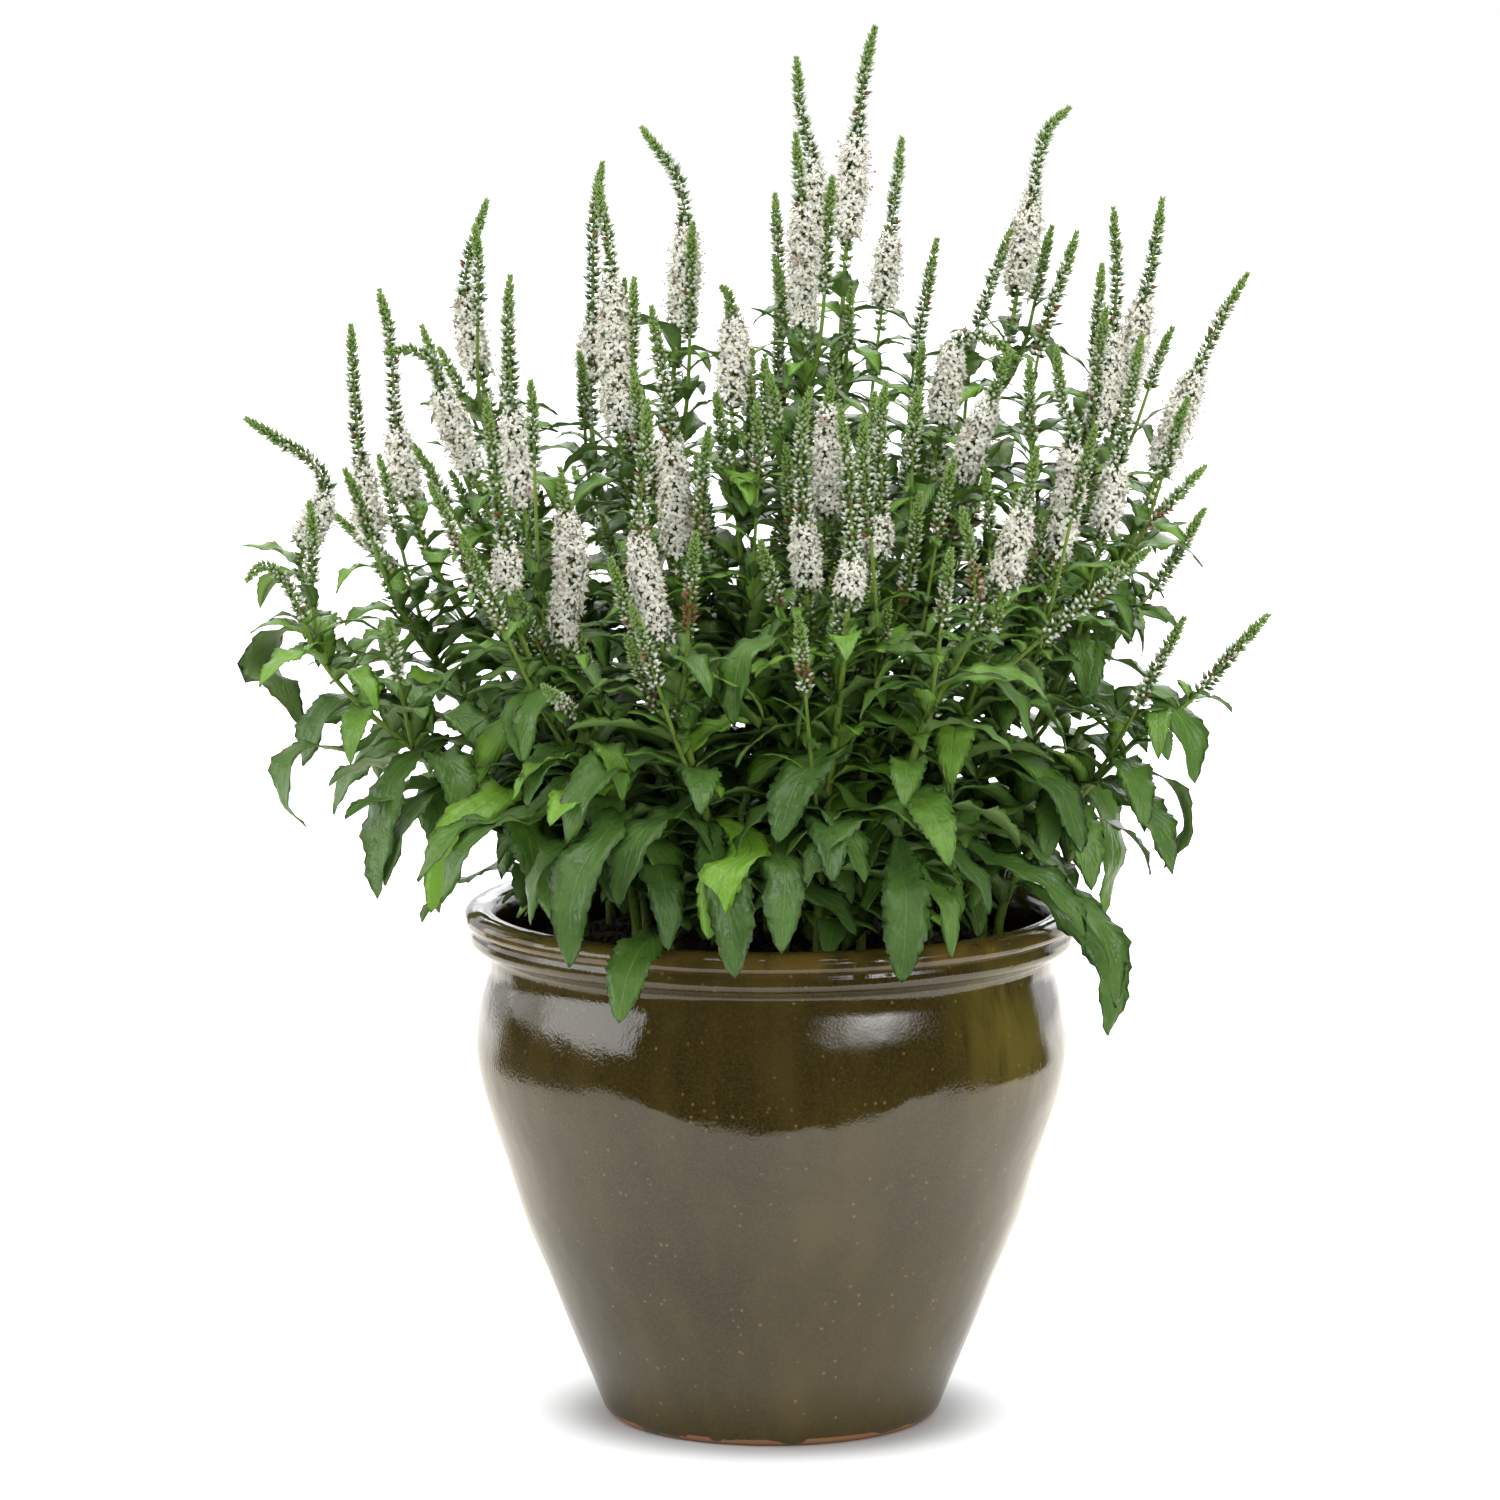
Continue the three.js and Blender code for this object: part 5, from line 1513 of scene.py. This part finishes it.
class SPEEDWELL_OT_soil(bpy.types.Operator):
    """Fills the pot with lumpy potting soil and strews crumbs over it"""

    bl_idname = "speedwell.soil"
    bl_label = "Potting Soil"

    def execute(self, context):
        look = context.scene.speedwell_soil
        finish = soil_finish(look)
        crown = [(r, crown_height(r)) for r in np.linspace(SOIL_RADIUS - 2, 3, 40)]
        outline = [*SOIL_SIDES, *crown, (0, SOIL_CROWN)]
        soil = lathe("potting_soil", outline, 96)
        for vertex in soil.data.vertices:
            x, y, z = vertex.co / MM
            if z > SOIL_EDGE - 0.5:
                lump = math.sin(x * 0.11 + 1.3) * math.cos(y * 0.13 - 0.4)
                small = math.sin(x * 0.41) * math.sin(y * 0.37 + 1) + math.sin(x * 0.9 + y * 0.7)
                vertex.co.z += (lump * 1.6 + small * 0.5) * MM
        soil.data.shade_smooth()
        soil.data.materials.append(finish)
        wear(soil, "compost", "soil")
        strew_crumbs(look, finish)
        return {"FINISHED"}


class SPEEDWELL_OT_stems(bpy.types.Operator):
    """Grows the leafy stems: stalks, toothed leaves and the green buds of every spike"""

    bl_idname = "speedwell.stems"
    bl_label = "Leafy Stems"

    def execute(self, context):
        look = context.scene.speedwell_leaf
        spike = context.scene.speedwell_spike
        finishes = [leaf_finish(look), stalk_finish(look), bud_finish(spike)]
        stalk = stalk_shape(30)
        twig = stalk_shape(10)
        fine = blade_shape(32, 4, look.tooth)
        plain = blade_shape(20, 2, look.tooth)
        small = blade_shape(9, 2, look.tooth)
        bud = bud_shape()
        for index, stem in enumerate(plant()["stems"]):
            rng = np.random.default_rng(LEAF_SEED + index)
            heap = Heap()
            leaves = solid_leaves(stem, index, rng) + plant()["draped"][index]
            for axis in all_axes(stem) + side_spikes(stem, rng):
                main = axis.face is None
                add_stalk(heap, stalk if main else twig, axis, rng, -ROOT_DEPTH if main else 0)
                if axis.levels:
                    leaves += between_leaves(axis, rng)
                leaves += spike_foot_leaves(axis, rng)
                add_buds(heap, bud, axis, axis.bloom_end, axis.length, spike, rng)
                add_buds(heap, bud, axis, max(6, axis.bloom_start - axis.flowered),
                         axis.bloom_start, spike, rng, 0.85, 1.4)
            for leaf in leaves:
                middle = leaf.points[16]
                outer = middle[1] < OUTER_FRONT or abs(middle[0]) > OUTER_SIDE
                shown = leaf.length > LARGE_LEAF and outer
                shape = small if leaf.length < SMALL_LEAF else fine if shown else plain
                add_leaf(heap, shape, leaf, look, rng)
            wear(heap.make(f"stem_{index + 1:02d}_dressed", finishes), "foliage",
                 stem_node(index))
        return {"FINISHED"}


def add_pale_strings(heap, shapes, look):
    """Short strings of florets on spikes that have no bloom; returns their stems' numbers."""
    for (index, shoot), (near, far) in PALE.items():
        stem = plant()["stems"][index]
        plan = stem.plan if shoot is None else stem.plan["shoots"][shoot]
        axis = next(one for one in all_axes(stem) if one.plan is plan)
        add_florets(heap, shapes, axis, axis.length - far, axis.length - near, look,
                    np.random.default_rng(PALE_SEED + index))
    return {index for index, _ in PALE}


def add_late_florets(heap, shapes, look):
    """A few small florets below each bloom; returns their stems' numbers."""
    found = set()
    for index, stem in enumerate(plant()["stems"]):
        rng = np.random.default_rng(DOTTED_SEED + index)
        for axis in all_axes(stem):
            if axis.flowered:
                found.add(index)
                add_florets(heap, shapes, axis, axis.bloom_start - axis.flowered * 0.8,
                            axis.bloom_start, look, rng, 10, 0.6)
    return found


class SPEEDWELL_OT_blooms(bpy.types.Operator):
    """Opens the white florets round each blooming spike"""

    bl_idname = "speedwell.blooms"
    bl_label = "White Blooms"

    def execute(self, context):
        look = context.scene.speedwell_spike
        finishes = [petal_finish(look), stamen_finish(look), bud_finish(look)]
        shapes = (floret_shape(), stamen_shape(), bud_shape())
        white = [axis for stem in plant()["stems"] for axis in all_axes(stem)
                 if "white" in axis.plan]
        for number, axis in enumerate(white, 1):
            heap = Heap()
            add_florets(heap, shapes, axis, axis.bloom_start, axis.bloom_end, look,
                        np.random.default_rng(BLOOM_SEED + number))
            wear(heap.make(f"florets_{number:02d}", finishes), "petals", f"bloom_{number:02d}")
        heap = Heap()
        stems = add_pale_strings(heap, shapes, look) | add_late_florets(heap, shapes, look)
        wear(heap.make("scattered_florets", finishes), "petals", *map(stem_node, sorted(stems)))
        return {"FINISHED"}


def hang_light(name, place, aim, width, height, brightness, outline):
    """An area light of a given brightness, turned to a point."""
    lamp = bpy.data.lights.new(name, "AREA")
    lamp.shape = outline
    lamp.size = width
    lamp.size_y = height
    lamp.energy = brightness * math.pi * width * height
    holder = bpy.data.objects.new(name, lamp)
    holder.location = place
    holder.rotation_euler = (Vector(aim) - Vector(place)).to_track_quat("-Z", "Y").to_euler()
    bpy.context.scene.collection.objects.link(holder)
    return holder


def lay_floor(look):
    floor = start_shape(bpy.ops.mesh.primitive_plane_add, size=2 * FLOOR_HALF,
                        location=(0, FLOOR_HALF - look.front_edge, FLOOR_LEVEL))
    floor.name = "floor"
    floor.data.transform(floor.matrix_world)
    floor.matrix_world.identity()
    floor.data.materials.append(floor_finish(look))


def set_lights(look):
    for name, place, aim, width, height, setting, share in LIGHTS:
        outline = "ELLIPSE" if setting == "front" else "RECTANGLE"
        light = hang_light(name, place, aim, width, height, getattr(look, setting) * share,
                           outline)
        light.visible_glossy = setting != "fill"


def set_surround(scene, look):
    """White to the camera, grey all round for the light, and dark in the glaze except behind."""
    scene.world = bpy.data.worlds.new("surround")
    scene.world.use_nodes = True
    nodes = Nodes(scene.world.node_tree)
    nodes.tree.nodes.clear()
    seen = nodes.put("ShaderNodeBackground", {"Color": (1, 1, 1, 1), "Strength": 1.0})
    heading = nodes.split(nodes.put("ShaderNodeTexCoord").outputs["Generated"])
    back = nodes.times(nodes.step_up(heading[1], *BACK_HEADING),
                       nodes.scaled(heading[0], 0.45, look.behind))
    path = nodes.put("ShaderNodeLightPath").outputs
    strength = nodes.put("ShaderNodeMix", {
        0: path["Is Glossy Ray"], 2: look.surround, 3: nodes.math("ADD", back, look.ahead)})
    around = nodes.put("ShaderNodeBackground", {
        "Color": (0.97, 0.98, 1.0, 1), "Strength": strength.outputs[0]})
    both = nodes.put("ShaderNodeMixShader", {
        0: path["Is Camera Ray"], 1: around.outputs[0], 2: seen.outputs[0]})
    nodes.put("ShaderNodeOutputWorld", {0: both.outputs[0]})
    scene.view_settings.view_transform = "Standard"


def set_camera(scene, look):
    lens = bpy.data.cameras.new("camera")
    lens.sensor_width = 36
    lens.lens = 192
    lens.clip_end = 50
    camera = bpy.data.objects.new("camera", lens)
    back = Vector((0, -math.cos(look.elevation), math.sin(look.elevation)))
    camera.location = Vector(CAMERA_AIM) + back * look.distance
    camera.rotation_euler = (-back).to_track_quat("-Z", "Y").to_euler()
    scene.collection.objects.link(camera)
    scene.camera = camera


class SPEEDWELL_OT_stage(bpy.types.Operator):
    """Sets the pale floor, the soft studio lights, the surround and the camera"""

    bl_idname = "speedwell.stage"
    bl_label = "Stage"

    def execute(self, context):
        look = context.scene.speedwell_stage
        lay_floor(look)
        set_lights(look)
        set_surround(context.scene, look)
        set_camera(context.scene, look)
        return {"FINISHED"}


class SPEEDWELL_PT_panel(bpy.types.Panel):
    """Lists the pieces of the plant and what can be changed on them"""

    bl_idname = "SPEEDWELL_PT_panel"
    bl_label = "Speedwell"
    bl_space_type = "VIEW_3D"
    bl_region_type = "UI"
    bl_category = "Speedwell"

    def draw(self, context):
        for step, group in STEPS:
            box = self.layout.box()
            box.operator(step.bl_idname)
            settings = getattr(context.scene, group)
            for name in settings.__annotations__:
                box.prop(settings, name)


STEPS = [
    (SPEEDWELL_OT_pot, "speedwell_pot"),
    (SPEEDWELL_OT_soil, "speedwell_soil"),
    (SPEEDWELL_OT_stems, "speedwell_leaf"),
    (SPEEDWELL_OT_blooms, "speedwell_spike"),
    (SPEEDWELL_OT_stage, "speedwell_stage"),
]
GROUPS = {
    "speedwell_pot": PotSettings,
    "speedwell_soil": SoilSettings,
    "speedwell_leaf": LeafSettings,
    "speedwell_spike": SpikeSettings,
    "speedwell_stage": StageSettings,
}


def register():
    for name, group in GROUPS.items():
        bpy.utils.register_class(group)
        setattr(bpy.types.Scene, name, bpy.props.PointerProperty(type=group))
    for step, _ in STEPS:
        bpy.utils.register_class(step)
    bpy.utils.register_class(SPEEDWELL_PT_panel)


def unregister():
    bpy.utils.unregister_class(SPEEDWELL_PT_panel)
    for step, _ in reversed(STEPS):
        bpy.utils.unregister_class(step)
    for name, group in GROUPS.items():
        delattr(bpy.types.Scene, name)
        bpy.utils.unregister_class(group)


def main():
    register()
    for name in ("pot", "soil", "stems", "blooms", "stage"):
        getattr(bpy.ops.speedwell, name)()
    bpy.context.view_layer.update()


if __name__ == "__main__":
    main()
